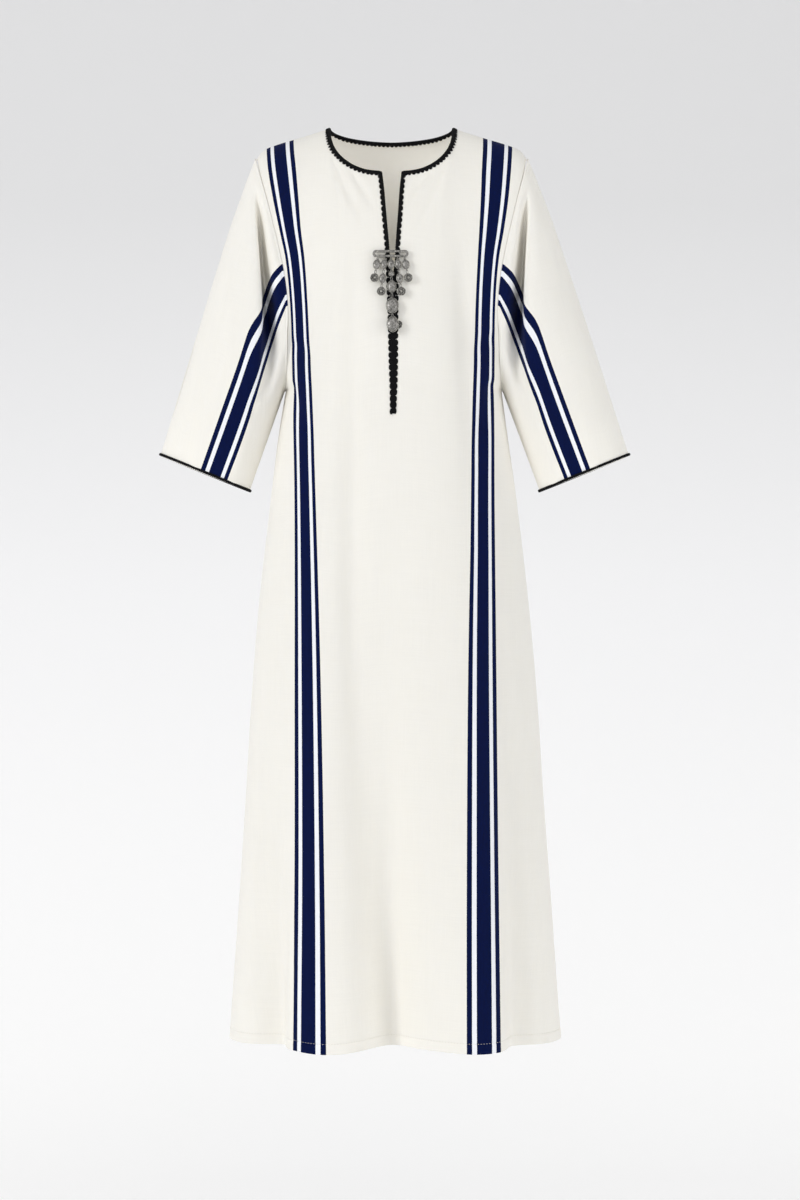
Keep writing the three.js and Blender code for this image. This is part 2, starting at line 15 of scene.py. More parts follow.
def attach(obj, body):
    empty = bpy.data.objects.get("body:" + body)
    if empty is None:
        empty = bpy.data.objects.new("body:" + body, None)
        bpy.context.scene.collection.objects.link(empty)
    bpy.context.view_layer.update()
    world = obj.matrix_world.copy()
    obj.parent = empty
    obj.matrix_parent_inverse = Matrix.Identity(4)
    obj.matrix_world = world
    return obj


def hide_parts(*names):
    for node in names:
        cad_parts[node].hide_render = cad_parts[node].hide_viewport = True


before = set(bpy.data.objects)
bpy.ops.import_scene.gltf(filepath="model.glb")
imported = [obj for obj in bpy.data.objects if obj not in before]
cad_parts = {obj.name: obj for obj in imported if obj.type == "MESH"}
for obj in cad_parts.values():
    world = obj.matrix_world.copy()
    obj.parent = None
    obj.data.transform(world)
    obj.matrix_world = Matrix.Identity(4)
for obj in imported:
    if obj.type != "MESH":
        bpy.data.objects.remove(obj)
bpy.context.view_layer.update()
MM = 0.001
WELD = 1e-6  # metres


def table(names, *rows):
    """A table with named columns."""
    return dict(zip(names.split(), np.array(rows, float).T))


# Cloth and seams
CLOTH = 1.2
SEAM_GAP = 0.2
SEAM_ROLL = 1.9
SEAM_ROLL_WIDTH = 1.7
FRONT = -1
BACK = 1
LEFT = -1
RIGHT = 1
SIDE_NAME = {LEFT: "left", RIGHT: "right"}

SHOULDER_TOP = -2
SHOULDER_END_DOWN = 45
UNDERARM_DOWN = 395
SLIT_TIP_DOWN = 441
NECK_EDGE_DOWN = 72
HEM_DOWN = 1375
NECK_HALF_WIDTH = 93
NECK = {FRONT: (73, 2.4), BACK: (15, 1.7)}  # drop, power
YOKE = {FRONT: (3, 0.75), BACK: (6, 0.5)}  # fullness, roundness
SIDE_POWER = 2.3
NECK_COLUMN = 0.5

# Rings of the body below the underarm: centre line, half width, and depth before and behind the seams.
BODY = table(
    "down centre half front back",
    (395, 3.4, 163, 118, 104),
    (471, 2.5, 174, 121, 108),
    (562, 3.6, 186, 126, 114),
    (714, 3.9, 203.7, 138, 126),
    (866, 4.6, 216.6, 151, 138),
    (1018, 4.9, 226, 164, 149),
    (1170, 5.6, 236.5, 177, 159),
    (1322, 5.6, 247, 187, 169),
    (1375, 6, 251, 190, 172),
)

# Armhole seen from the front: half width of the body at the seam.
ARMHOLE = table(
    "down half", (45, 204.5), (71, 199.5), (127, 185), (212, 165.5), (272, 158), (331, 158.5), (395, 163)
)
ARMHOLE_DEPTH = {FRONT: 76, BACK: 70}
ARMHOLE_ROUND = 0.8
CHEST_BOW = 2.2
SIDE_TURN = 0.3
SHOULDER = table("half down", (93, -2), (136, 12), (175, 24), (195, 33), (204.5, 45))

# Half the gap between the two edges of the slit.
SLIT = table("down half", (60, 16.5), (100, 12), (140, 9), (170, 6.5), (200, 4.5), (300, 1.3), (441, 0))
SLIT_SPREAD = 0.3

# Broad troughs in the skirt: place across at the waist and at the hem, depth at the hem, half width, top.
SKIRT_FOLDS = {
    FRONT: ((-25, -4, 78, 50, 430), (-165, -192, 40, 24, 820), (158, 192, 30, 25, 520)),
    BACK: (
        (-62, -92, 52, 42, 480), (58, 74, 44, 40, 560), (-168, -196, 26, 24, 760), (166, 194, 28, 24, 690)
    ),
}
WAIST_DOWN = 562
FOLD_GROWTH = 1.3
HEM_LOBES = {FRONT: ((-98, 6, 48), (126, 6, 56)), BACK: ((0, 3, 60),)}  # place across, drop, half width

# Sleeves: the cuff's outer and inner ends, its depth, and the fold that hangs below the shoulder.
CUFF_OUTER = (354.5, 496)
CUFF_INNER = (220.5, 549)
CUFF_DEPTH = 42
CUFF_FORWARD = 14
CUFF_CENTRE = 5
SLEEVE_SET = 1.2
UNDERARM_SET = 1.7
SLEEVE_ROUNDING = 5
SLEEVE_CROWDING = 1.5
SLEEVE_FOLD = table(
    "down at depth width",
    (90, 198, 0, 7),
    (130, 197, 10, 8),
    (180, 195, 24, 9),
    (225, 192, 31, 11),
    (275, 188, 30, 13),
    (330, 186, 20, 14),
    (390, 190, 6, 14),
    (420, 194, 0, 14),
)
FOLD_SHARE = {FRONT: 1, BACK: 0.6}
FOLD_RUN_IN = 0.06
FOLD_ASIDE = 3
FOLD_LIP = 9
LIP_AT = 1.2
LIP_WIDTH = 0.55
FOLD_DEEPER = {LEFT: 1.8, RIGHT: 1.85}
CRISP_EDGE = 0.75
ARM_ROUND = {FRONT: 16, BACK: 14}

# Creases: (across, down, depth, half width) along each line; a negative depth is a ridge.
FRONT_CREASES = (
    ((-85, 58, 1.6, 5), (-67, 100, 3.2, 7), (-42, 150, 0.6, 8)),
    ((-57, 76, 2.2, 4), (-42, 101, 2.8, 6), (-24, 134, 0.4, 6)),
    ((-77, 54, 0.8, 4), (-80, 90, 1.3, 6), (-74, 150, 0, 8)),
    ((85, 58, 1.4, 5), (68, 92, 3, 6), (50, 135, 2.4, 7), (32, 176, 0.3, 8)),
    ((57, 74, 2.2, 4), (40, 97, 2.7, 6), (23, 128, 0.3, 6)),
    (
        (-58, 170, 0, 14), (-57, 240, 4.4, 17), (-60, 330, 7.5, 18), (-61, 430, 11, 19), (-59, 540, 13.5, 20),
        (-56, 714, 13.5, 21), (-48, 866, 10, 24), (-38, 1050, 6.5, 28), (-22, 1230, 4, 30),
        (-8, 1375, 2.5, 32),
    ),
    ((104, 170, 0, 12), (108, 250, 4.4, 14), (111, 350, 4.8, 15), (118, 470, 3.6, 16), (126, 640, 0, 20)),
    ((-150, 395, 2.4, 7), (-138, 430, 1.8, 9), (-116, 500, 0, 12)),
    ((150, 392, 2.4, 7), (142, 440, 2, 9), (124, 520, 0, 12)),
    ((-146, 330, 1.6, 8), (-120, 350, 1.2, 12), (-84, 390, 0, 16)),
    ((148, 322, 1.6, 8), (126, 340, 1, 12), (90, 376, 0, 16)),
    ((62, 620, 0, 18), (66, 820, 2.6, 22), (72, 1060, 3.4, 24), (80, 1375, 4, 26)),
    ((-96, 640, 0, 16), (-100, 860, -2.2, 20), (-108, 1120, -3, 22), (-116, 1375, -4, 26)),
    ((120, 760, 0, 14), (128, 980, -2, 18), (138, 1200, -2.6, 20), (146, 1375, -3, 22)),
    ((-150, 1180, 0, 9), (-146, 1290, 1.6, 10), (-142, 1375, 2.4, 11)),
    ((-176, 620, 0, 9), (-182, 773, 2.4, 11), (-190, 1000, 3, 12), (-198, 1290, 2.6, 13)),
)
BACK_CREASES = (
    ((-70, 40, 0.6, 6), (-62, 110, 1.8, 9), (-48, 190, 0, 12)),
    ((66, 38, 0.6, 6), (60, 100, 1.6, 9), (50, 170, 0, 12)),
    ((-26, 60, 0, 10), (-22, 180, 2, 14), (-20, 330, 2.6, 18), (-28, 470, 0, 24)),
    ((34, 120, 0, 12), (30, 260, 2.4, 15), (36, 420, 2.2, 18), (44, 560, 0, 22)),
    ((-150, 394, 2.6, 8), (-132, 440, 1.8, 11), (-104, 520, 0, 14)),
    ((150, 396, 2.2, 8), (136, 450, 1.8, 10), (112, 530, 0, 13)),
    ((-148, 250, 1.6, 8), (-118, 290, 1.6, 12), (-84, 350, 0, 15)),
    ((146, 236, 1.8, 8), (120, 280, 1.4, 12), (88, 330, 0, 15)),
    ((-8, 560, 0, 18), (-6, 800, 3.4, 24), (2, 1080, 5, 26), (4, 1375, 6.5, 28)),
    ((-130, 700, 0, 16), (-140, 960, -2.4, 20), (-148, 1375, -4.4, 24)),
    ((118, 640, 0, 16), (128, 900, -2.8, 20), (138, 1375, -4.2, 24)),
)
SLEEVE_CREASES = {
    LEFT: (
        (
            (-232, 110, 0, 9), (-243, 190, 1.8, 11), (-243, 260, 2.6, 12), (-252, 330, 2.4, 13),
            (-268, 420, 0, 14),
        ),
        ((-290, 250, 0, 10), (-306, 330, -1.6, 12), (-322, 420, -1.4, 13), (-334, 480, 0, 12)),
        ((-196, 400, 0, 9), (-214, 440, 2.4, 9), (-232, 500, 2.6, 10), (-240, 540, 2, 10)),
        ((-276, 400, 0, 10), (-286, 450, 1.4, 11), (-296, 520, 1.8, 12)),
    ),
    RIGHT: (
        ((229, 100, 0, 8), (239, 161, 2.2, 9), (251, 215, 2, 10), (262, 270, 0, 11)),
        ((262, 235, 0, 8), (280, 300, 2, 9), (296, 350, 1.6, 10), (311, 420, 0, 12)),
        ((204, 400, 0, 9), (222, 450, 2.4, 9), (240, 505, 2.4, 10), (248, 545, 2, 10)),
        ((284, 410, 0, 10), (294, 450, 1.2, 11), (304, 515, 1.6, 12)),
    ),
}

# Stripe groups: outer and inner edge of each group across the body, and round the front of each sleeve.
STRIPES = table(
    "down left_outer left_inner right_inner right_outer",
    (0, -190, -149, 139, 184.5),
    (34, -188.5, -147, 138, 182.5),
    (67, -185.3, -143.3, 136, 180),
    (114, -177, -139, 134, 175.2),
    (160, -167.4, -135.2, 131.5, 168.4),
    (205, -158, -129.5, 129, 160.6),
    (265, -152, -125.3, 126.5, 156),
    (340, -149.2, -121.6, 125, 154.8),
    (414, -147.5, -117.5, 123, 154.3),
    (565, -144.2, -112.3, 119, 154),
    (862, -143, -103, 113, 156.2),
    (1156, -142.3, -97.5, 111, 158),
    (1375, -144.6, -95, 111, 159.5),
)
SLEEVE_STRIPES = table(
    "along left_outer left_inner right_outer right_inner",
    (0, 0.485, 0.598, 0.485, 0.598),
    (0.15, 0.452, 0.603, 0.447, 0.6),
    (0.3, 0.452, 0.613, 0.441, 0.603),
    (0.5, 0.466, 0.642, 0.454, 0.621),
    (0.7, 0.47, 0.66, 0.459, 0.641),
    (1, 0.477, 0.672, 0.466, 0.653),
)
SLEEVE_STRIPE_SHIFT = 0.033

# Braid and stitches
BRAID_STEP = 0.9
CORD_RADIUS = 1.5
CORD_PITCH = 7.6
CORE_INSET = 1.6
SLIT_LIFT = 0.7
SLIT_LOBE = (9.3, 3.6, 2.7)  # pitch, inset and reach
NECK_LOBE = (6.2, 2.9, 2.5)
LOBE_THICK = {"slit": 1.5, "neck": 2.3}
LOOP_WIRE = 0.5
TIP_SHRINK = 0.72
CORNER_BLEND = [(k, w / 16) for k, w in zip(range(-4, 5), (1, 1, 2, 2.5, 3, 2.5, 2, 1, 1))]
BACK_UPRIGHT = 0.62
NECK_FULLER = {FRONT: 1.45, BACK: 1.2}
TIP_ROUND = 7
TIP_OUT = (0.3, 0, 0.95)
TIP_ACROSS = (0.95, 0, -0.3)
CUFF_BRAID_AT = 0.995
CUFF_CORD = 1.45
CUFF_PITCH = 6.2
SLIT_CLOSED = (208, 250)  # down: the two braids draw together between these
HEM_STITCH = 15
STITCH_DIP = 0.5
HEM_FULL = 0.25
STITCH_STEP = 1.1

# Clasp and its drops
BAR = {"x": -1, "y": -113.4, "down": 199.5, "length": 54, "height": 11.3, "wire": 3.95}
WRAPS = (-20.5, -19.4, -18.3, -4.2, -3.1, -2, 6.8, 7.9, 19, 20.1)
CLASP_LEAN = math.radians(8)
RING = 1.3
RING_WIRE = 0.45
RING_SIDES = 14
EYE_FORWARD = 1.4
EYE_SINK = 0.85
CAP_SINK = 0.3
EYE_Z = -BAR["height"] / 2 - RING + RING_WIRE - 0.05
DROPS = {  # width, height and depth of each drop, and the length of its link
    "outer": (11.2, 16, 6, 2.6),
    "inner": (10, 15, 6, 2.6),
    "seed": (7.6, 7.6, 5.5, 2.6),
    "olive": (9.8, 15, 5.5, 5.9),
    "centre": (13.2, 18.5, 6.5, 5.8),
    "large": (19, 24, 7, 7),
    "last": (18.8, 25, 6.5, 3.2),
    "coin": (13.4, 13.4, 1.8, 5.2),
}
STRANDS = (
    (-18.9, 9, ("outer", "coin")),
    (-8.5, 6, ("inner", "olive", "coin")),
    (0.6, -1.5, ("inner", "seed", "centre", "large", "last")),
    (10.1, -6.5, ("inner", "olive", "coin")),
    (20.8, -10, ("outer", "coin")),
)
# The disc behind the last drop is a painted shadow of that drop, drawn in the dark pewter.
SHADOW_DISC = (8.2, 6.2)  # how far the disc behind the last drop sits aside, and its radius


def lerp(a, b, t):
    return a + (b - a) * t


def smoothstep(x, low, high):
    t = np.clip((x - low) / (high - low), 0, 1)
    return t * t * (3 - 2 * t)


def unit(v):
    return v / np.maximum(np.linalg.norm(v, axis=-1, keepdims=True), 1e-12)


def read(rows, name, at):
    """A column of a table at places in its first column, along a smooth curve through the rows."""
    keys, values = next(iter(rows.values())), rows[name]
    last = len(keys) - 1
    at = np.clip(at, keys[0], keys[-1])
    i = np.clip(np.searchsorted(keys, at) - 1, 0, last - 1)
    before, after = np.maximum(i - 1, 0), np.minimum(i + 2, last)
    step = keys[i + 1] - keys[i]
    start = (values[i + 1] - values[before]) / (keys[i + 1] - keys[before]) * step
    end = (values[after] - values[i]) / (keys[after] - keys[i]) * step
    t = (at - keys[i]) / step
    return lerp(values[i], values[i + 1], t * t * (3 - 2 * t)) + t * (1 - t) * ((1 - t) * start - t * end)


def bell(distance, width):
    return np.exp(-((distance / width) ** 2))


def crease_push(creases, x, down):
    """How far a table of creases pushes the cloth in."""
    total = np.zeros_like(x)
    for line in creases:
        best = np.zeros_like(x)
        for (x0, d0, depth0, width0), (x1, d1, depth1, width1) in zip(line, line[1:]):
            length = (x1 - x0) ** 2 + (d1 - d0) ** 2
            t = np.clip(((x - x0) * (x1 - x0) + (down - d0) * (d1 - d0)) / length, 0, 1)
            off = np.hypot(x - lerp(x0, x1, t), down - lerp(d0, d1, t))
            value = lerp(depth0, depth1, t) * bell(off, lerp(width0, width1, t))
            best = np.where(np.abs(value) > np.abs(best), value, best)
        total += best
    return total


def skirt_point(face, across, down):
    """The body below the underarm; across runs from -1 to 1 between the side seams."""
    angle = across * math.pi / 2
    half = read(BODY, "half", down)
    centre = read(BODY, "centre", down)
    depth = read(BODY, "front" if face == FRONT else "back", down)
    side = np.sign(angle) * np.abs(np.sin(angle)) ** (2 / SIDE_POWER)
    out = np.maximum(np.cos(angle), 0) ** (2 / SIDE_POWER)
    nx, ny = side / half, face * out / depth
    size = np.hypot(nx, ny)
    x = half * side
    push = np.zeros_like(x)
    for waist, hem, deep, width, top in SKIRT_FOLDS[face]:
        along = np.clip((down - top) / (HEM_DOWN - top), 0, 1)
        at = lerp(waist, hem, (down - WAIST_DOWN) / (HEM_DOWN - WAIST_DOWN))
        push = push + deep * along**FOLD_GROWTH * bell(x - at, width)
    along = np.clip((down - UNDERARM_DOWN) / (HEM_DOWN - UNDERARM_DOWN), 0, 1)
    low = down + sum(drop * bell(x - at, width) for at, drop, width in HEM_LOBES[face]) * along**2
    return np.stack([centre + x - nx / size * push, face * depth * out - ny / size * push, -low], -1)


def body_centre(down):
    above = lerp(0, BODY["centre"][0], np.clip(down / UNDERARM_DOWN, 0, 1))
    return np.where(down < UNDERARM_DOWN, above, read(BODY, "centre", down))


def armhole_point(face, side, rise):
    """The armhole seam; rise runs from 0 at the underarm to 1 at the shoulder."""
    down = lerp(SHOULDER_END_DOWN, UNDERARM_DOWN, (1 + np.cos(math.pi * rise)) / 2)
    half = read(ARMHOLE, "half", down)
    depth = ARMHOLE_DEPTH[face] * np.maximum(np.sin(math.pi * rise), 0) ** ARMHOLE_ROUND
    return np.stack([side * half + body_centre(down), face * depth, -down], -1)


def yoke_point(face, across, rise):
    """The body above the underarm, on the full shoulder before the neck is cut out of it."""
    reach = np.abs(across)
    side = np.where(across < 0, -1, 1)
    edge = armhole_point(face, side, rise)
    share = np.sin(rise * math.pi / 2)
    full, round_ = YOKE[face]
    depth = BODY["front" if face == FRONT else "back"][0]
    middle_y = face * depth * (1 - share**full) ** round_
    middle_down = lerp(UNDERARM_DOWN, SHOULDER_TOP, share)
    low = np.sin(reach * math.pi / 2) ** (2 / SIDE_POWER)
    neck_turn = np.minimum(reach / NECK_COLUMN, 1) * math.pi / 2
    to_neck = NECK_HALF_WIDTH * np.sin(neck_turn) ** (2 / NECK[face][1])
    to_arm = lerp(NECK_HALF_WIDTH, ARMHOLE["half"][0], (reach - NECK_COLUMN) / (1 - NECK_COLUMN))
    part = lerp(low, np.where(reach < NECK_COLUMN, to_neck, to_arm) / ARMHOLE["half"][0], rise)
    centre = body_centre(middle_down)
    x = lerp(centre, edge[..., 0], part)
    upright = np.maximum(1 - low**SIDE_POWER, 0) ** (1 / SIDE_POWER)
    bowed = 1 - part**CHEST_BOW
    y = edge[..., 1] + (middle_y - edge[..., 1]) * lerp(upright, bowed, smoothstep(rise, 0, SIDE_TURN))
    slope = read(SHOULDER, "down", np.maximum(part * ARMHOLE["half"][0], NECK_HALF_WIDTH))
    slope = (slope - SHOULDER_TOP) / (SHOULDER_END_DOWN - SHOULDER_TOP)
    return np.stack([x, y, lerp(-middle_down, edge[..., 2], slope)], -1)


def column_top(face, across):
    """How far up its column the neckline cuts the yoke."""
    drop, power = NECK[face]
    low, high = np.zeros_like(across), np.ones_like(across)
    for _ in range(40):
        middle = (low + high) / 2
        point = yoke_point(face, across, middle)
        share = np.clip(np.abs(point[..., 0]) / NECK_HALF_WIDTH, 0, 1)
        under = -point[..., 2] > SHOULDER_TOP + drop * (1 - share**power) ** (1 / power)
        low, high = np.where(under, middle, low), np.where(under, high, middle)
    return np.where(np.abs(across) >= NECK_COLUMN, 1, low)


SMALL = 0.004


def facing(at, u, v):
    """The unit cross product of a surface's two directions."""
    return unit(np.cross(at(u + SMALL, v) - at(u - SMALL, v), at(u, v + SMALL) - at(u, v - SMALL)))


def panel_surface(face, half, across, level):
    """Points and outward directions of half a panel. level is a height down below the underarm, in
    millimetres, and above it the share of the column's height, from 0 to 1, less 1."""
    top = column_top(face, across)
    above = level < 0
    rise = np.where(above, (level + 1) * top, 0)
    down = np.where(above, UNDERARM_DOWN, level)
    point = np.where(above[..., None], yoke_point(face, across, rise), skirt_point(face, across, down))
    inside = np.clip(across, -1 + SMALL, 1 - SMALL)
    on_yoke = facing(lambda u, v: yoke_point(face, u, v), inside, np.clip(rise, SMALL, 1 - SMALL))
    on_skirt = facing(lambda u, v: skirt_point(face, u, -v * 100), inside, -down / 100)
    normal = np.where(above[..., None], on_yoke, on_skirt) * -face
    if face == FRONT:
        near = np.clip(1 - np.abs(across) / SLIT_SPREAD, 0, 1) ** 2
        gap = half * near * read(SLIT, "half", -point[..., 2])
        point[..., 0] += np.where(above | (down < SLIT_TIP_DOWN), gap, 0)
    point[..., 1] += face * SEAM_GAP / 2
    return point, normal


def run(points, axis):
    """Lengths along an axis of a grid of points."""
    steps = np.linalg.norm(np.diff(points, axis=axis), axis=-1)
    pad = [(0, 0), (0, 0)]
    pad[axis] = (1, 0)
    return np.cumsum(np.pad(steps, pad), axis=axis)


def stripe_across(x, down):
    """0 at a stripe group's outer edge and 1 at its inner edge, for the nearer group."""
    groups = []
    for name in SIDE_NAME.values():
        outer, inner = (read(STRIPES, f"{name}_{edge}", down) for edge in ("outer", "inner"))
        groups.append((x - outer) / (inner - outer))
    return np.minimum(*groups)


NEAR_SEAM = np.array([0, 0.0008, 0.002, 0.0035, 0.006, 0.0095])
NEAR_TOP = np.array([0, 0.002, 0.004, 0.007, 0.011, 0.016, 0.022, 0.03, 0.04, 0.052])
NEAR_HEM = np.array([0, 1, 2.2, 4, 7, 10, 12.4, 13.4, 14.2, 15, 15.8, 16.6, 17.6, 20, 24, 29])


def panel_grid(face, half):
    """Half a panel as a grid: rows from the hem up, columns from the middle to the side."""
    across = 1 - np.concatenate([NEAR_SEAM, np.linspace(0.014, 1, 70)])[::-1]
    downs = HEM_DOWN - np.concatenate([NEAR_HEM, np.linspace(35, HEM_DOWN - UNDERARM_DOWN, 158)])
    rises = 1 - np.concatenate([NEAR_TOP, np.linspace(0.065, 1, 76)])[::-1]
    level = np.concatenate([downs, rises[1:] - 1 - 1e-9])
    u, v = np.meshgrid(half * across, level)
    point, normal = panel_surface(face, half, u, v)
    normal[np.isclose(u, half, atol=1e-6) | (v > -2e-9) & (v < 0) & (np.abs(u) > NECK_COLUMN), 1] = 0
    normal = unit(normal)
    side_off = run(point[:, ::-1], 1)[:, ::-1]
    top_off = run(point[::-1], 0)[::-1]
    x, down = point[..., 0].copy(), -point[..., 2]
    push = crease_push(FRONT_CREASES if face == FRONT else BACK_CREASES, x, down)
    push *= smoothstep(side_off, 2, 22) * np.where(v < 0, smoothstep(top_off, 2, 16), 1)
    at_end = np.where(v < 0, smoothstep(top_off, 2, 14), 1)
    push += SEAM_ROLL * bell(side_off, SEAM_ROLL_WIDTH) * at_end
    push += np.where(np.abs(u) > NECK_COLUMN, SEAM_ROLL * bell(top_off, SEAM_ROLL_WIDTH), 0)
    hem_off = run(point, 0)
    push += STITCH_DIP * bell(hem_off - HEM_STITCH, 1.1) - HEM_FULL * smoothstep(HEM_STITCH - hem_off, 0, 4)
    return point - normal * push[..., None], normal, stripe_across(x, down), hem_off


def grid_quads(rows, columns, start=0, flip=False, loop_rows=False, loop_columns=False):
    """Faces of a grid of points numbered from start; a loop joins its last row or column to its first."""
    i, j = np.meshgrid(np.arange(rows - 1 + loop_rows), np.arange(columns - 1 + loop_columns), indexing="ij")
    a, b, k = i * columns, (i + 1) % rows * columns, (j + 1) % columns
    quads = np.stack([a + j, a + k, b + k, b + j], -1).reshape(-1, 4) + start
    return quads[:, ::-1] if flip else quads


def mesh_object(name, points, faces, materials, uvs=()):
    """A smooth object from points in millimetres, with UV maps given as (name, one (u, v) per point)."""
    mesh = bpy.data.meshes.new(name)
    mesh.from_pydata([tuple(p) for p in np.asarray(points) * MM], [], [tuple(map(int, f)) for f in faces])
    corner = np.empty(len(mesh.loops), int)
    mesh.loops.foreach_get("vertex_index", corner)
    for key, values in uvs:
        mesh.uv_layers.new(name=key).data.foreach_set("uv", np.concatenate(values)[corner].ravel())
    mesh.polygons.foreach_set("use_smooth", [True] * len(mesh.polygons))
    for material in materials:
        mesh.materials.append(material)
    made = bpy.data.objects.new(name, mesh)
    bpy.context.scene.collection.objects.link(made)
    return made


def make_cloth(name, grids):
    """A sheet of cloth, given its thickness, from grids of points. Each comes with its lengths across and
    along, its place across a stripe group, and whether its faces are turned over."""
    points, faces, cloth_uv, stripe_uv, start = [], [], [], [], 0
    for point, across, along, stripe, flip in grids:
        rows, columns = point.shape[:2]
        faces.append(grid_quads(rows, columns, start, flip))
        start += rows * columns
        points.append(point.reshape(-1, 3))
        cloth_uv.append(np.stack([across * MM, along * MM], -1).reshape(-1, 2))
        stripe_uv.append(np.stack([stripe, along * MM], -1).reshape(-1, 2))
    uvs = (("cloth", cloth_uv), ("stripe", stripe_uv))
    made = mesh_object(name, np.concatenate(points), np.concatenate(faces), cloths, uvs)
    work = bmesh.new()
    work.from_mesh(made.data)
    bmesh.ops.remove_doubles(work, verts=work.verts, dist=WELD)
    work.to_mesh(made.data)
    work.free()
    solid = made.modifiers.new("cloth", "SOLIDIFY")
    solid.thickness = CLOTH * MM
    solid.offset = 0
    solid.use_rim = True
    solid.use_even_offset = False
    solid.material_offset = 1
    return made


def make_panel(face, name):
    grids, sheets = {}, []
    for half in (LEFT, RIGHT):
        point, normal, stripe, hem_off = panel_grid(face, half)
        grids[half] = (point, normal)
        # Rows run up and columns run outwards, so the outward side depends on the half and the face.
        sheets.append((point, half * run(point, 1), hem_off, stripe, half * face > 0))
    return make_cloth(name, sheets), grids


def sleeve_point(side, face, turn, along):
    """A sleeve; turn runs from 0 at its top down one face to 1 at its inner edge."""
    seam = armhole_point(face, side, 1 - turn)
    seam[..., 0] += side * (SLEEVE_SET + UNDERARM_SET * turn**4)
    sweep = (1 - np.cos(math.pi * turn)) / 2
    cuff = np.stack(
        [
            CUFF_CENTRE + side * lerp(CUFF_OUTER[0], CUFF_INNER[0], sweep),
            face * CUFF_DEPTH * np.sin(math.pi * turn) - CUFF_FORWARD,
            -lerp(CUFF_OUTER[1], CUFF_INNER[1], sweep),
        ],
        -1,
    )
    point = lerp(seam, cuff, along[..., None])
    swell = np.sin(math.pi * along**0.6)
    point[..., 0] += side * SLEEVE_ROUNDING * swell * (1 - turn) ** 2
    point[..., 1] += face * ARM_ROUND[face] * np.sin(math.pi * np.minimum(turn * 1.5, 1)) * swell
    half = side * (point[..., 0] - body_centre(-point[..., 2]))
    at = read(SLEEVE_FOLD, "at", -point[..., 2]) + FOLD_ASIDE
    deep = read(SLEEVE_FOLD, "depth", -point[..., 2])
    width = read(SLEEVE_FOLD, "width", -point[..., 2])
    ready = smoothstep(along, 0, FOLD_RUN_IN) * np.maximum(np.sin(math.pi * turn), 0) ** 0.5
    profile = bell(half - at, width * np.where(half > at, CRISP_EDGE, 1))
    point[..., 1] -= face * FOLD_SHARE[face] * FOLD_DEEPER[side] * deep * profile * ready
    lip = bell(half - at - width * LIP_AT, width * LIP_WIDTH) * deep / SLEEVE_FOLD["depth"].max()
    point[..., 0] -= side * FOLD_LIP * lip * ready * FOLD_SHARE[face]
    return point


SLEEVE_AROUND = 104
SLEEVE_RINGS = 118
NEAR_ARMHOLE = [0, 0.001, 0.0025, 0.0045, 0.007]


def sleeve_face(side, face):
    """Half a sleeve as a grid: rows from armhole to cuff, columns from its top to its inner edge."""
    along = np.linspace(0, 1, SLEEVE_RINGS) ** SLEEVE_CROWDING
    along = np.sort(np.concatenate([along[along > 0.01], NEAR_ARMHOLE]))
    u, v = np.meshgrid(np.linspace(0, 1, SLEEVE_AROUND), along)
    point = sleeve_point(side, face, u, v)
    normal = unit(np.cross(np.gradient(point, axis=1), np.gradient(point, axis=0))) * side * face
    # The direction across a face vanishes at its two ends, so they borrow the next column's.
    normal[:, 0] = unit(normal[:, 1] * (1, 0, 1))
    normal[:, -1] = unit(normal[:, -2] * (1, 0, 1))
    off = run(point, 0)
    push = SEAM_ROLL * bell(off, SEAM_ROLL_WIDTH) * smoothstep(u, 0.005, 0.05)
    stripe = u * 0 - 2
    if face == FRONT:
        push += crease_push(SLEEVE_CREASES[side], point[..., 0], -point[..., 2]) * smoothstep(off, 2, 20)
        low, high = (read(SLEEVE_STRIPES, f"{SIDE_NAME[side]}_{edge}", v) for edge in ("outer", "inner"))
        stripe = (u - low) / (high - low)
    stripe = stripe - SLEEVE_STRIPE_SHIFT * np.sin(math.pi * np.clip(stripe, 0, 1))
    return point - normal * push[..., None], stripe, off


def make_sleeve(side, name):
    sheets = []
    for face in (FRONT, BACK):
        point, stripe, off = sleeve_face(side, face)
        sheets.append((point, face * run(point, 1), off, stripe, side * face > 0))
    return make_cloth(name, sheets)


# Materials


def new_material(name):
    material = bpy.data.materials.new(name)
    material.use_nodes = True
    return material, material.node_tree, material.node_tree.nodes["Principled BSDF"]


def feed(tree, node, inputs):
    """Gives a node its inputs, each a value or another node's output."""
    for key, value in inputs.items():
        if isinstance(value, bpy.types.NodeSocket):
            tree.links.new(value, node.inputs[key])
        else:
            node.inputs[key].default_value = value


def add(tree, kind, inputs={}, **settings):
    """A shader node."""
    made = tree.nodes.new("ShaderNode" + kind)
    for key, value in settings.items():
        setattr(made, key, value)
    feed(tree, made, inputs)
    return made


def noise(tree, at, scale, detail, roughness=0.5):
    inputs = {"Vector": at, "Scale": scale, "Detail": detail, "Roughness": roughness}
    return add(tree, "TexNoise", inputs).outputs[0]


def bump(tree, height, strength, distance, **more):
    inputs = {"Strength": strength, "Distance": distance, "Height": height, **more}
    return add(tree, "Bump", inputs).outputs[0]


def place_in(tree):
    return add(tree, "TexCoord").outputs["Object"]


def maths(tree, operation, *values):
    return add(tree, "Math", dict(enumerate(values)), operation=operation).outputs[0]


def ramp(tree, source, stops, interpolation="LINEAR"):
    made = add(tree, "ValToRGB", {"Fac": source})
    made.color_ramp.interpolation = interpolation
    elements = made.color_ramp.elements
    elements[-1].position = stops[-1][0]
    elements[-1].color = (*stops[-1][1], 1)
    elements[0].position = stops[0][0]
    elements[0].color = (*stops[0][1], 1)
    for place, colour in stops[1:-1]:
        elements.new(place).color = (*colour, 1)
    return made.outputs["Color"]


def times(tree, one, two):
    """The product of two colours."""
    return add(tree, "Mix", {0: 1.0, 6: one, 7: two}, data_type="RGBA", blend_type="MULTIPLY").outputs[2]


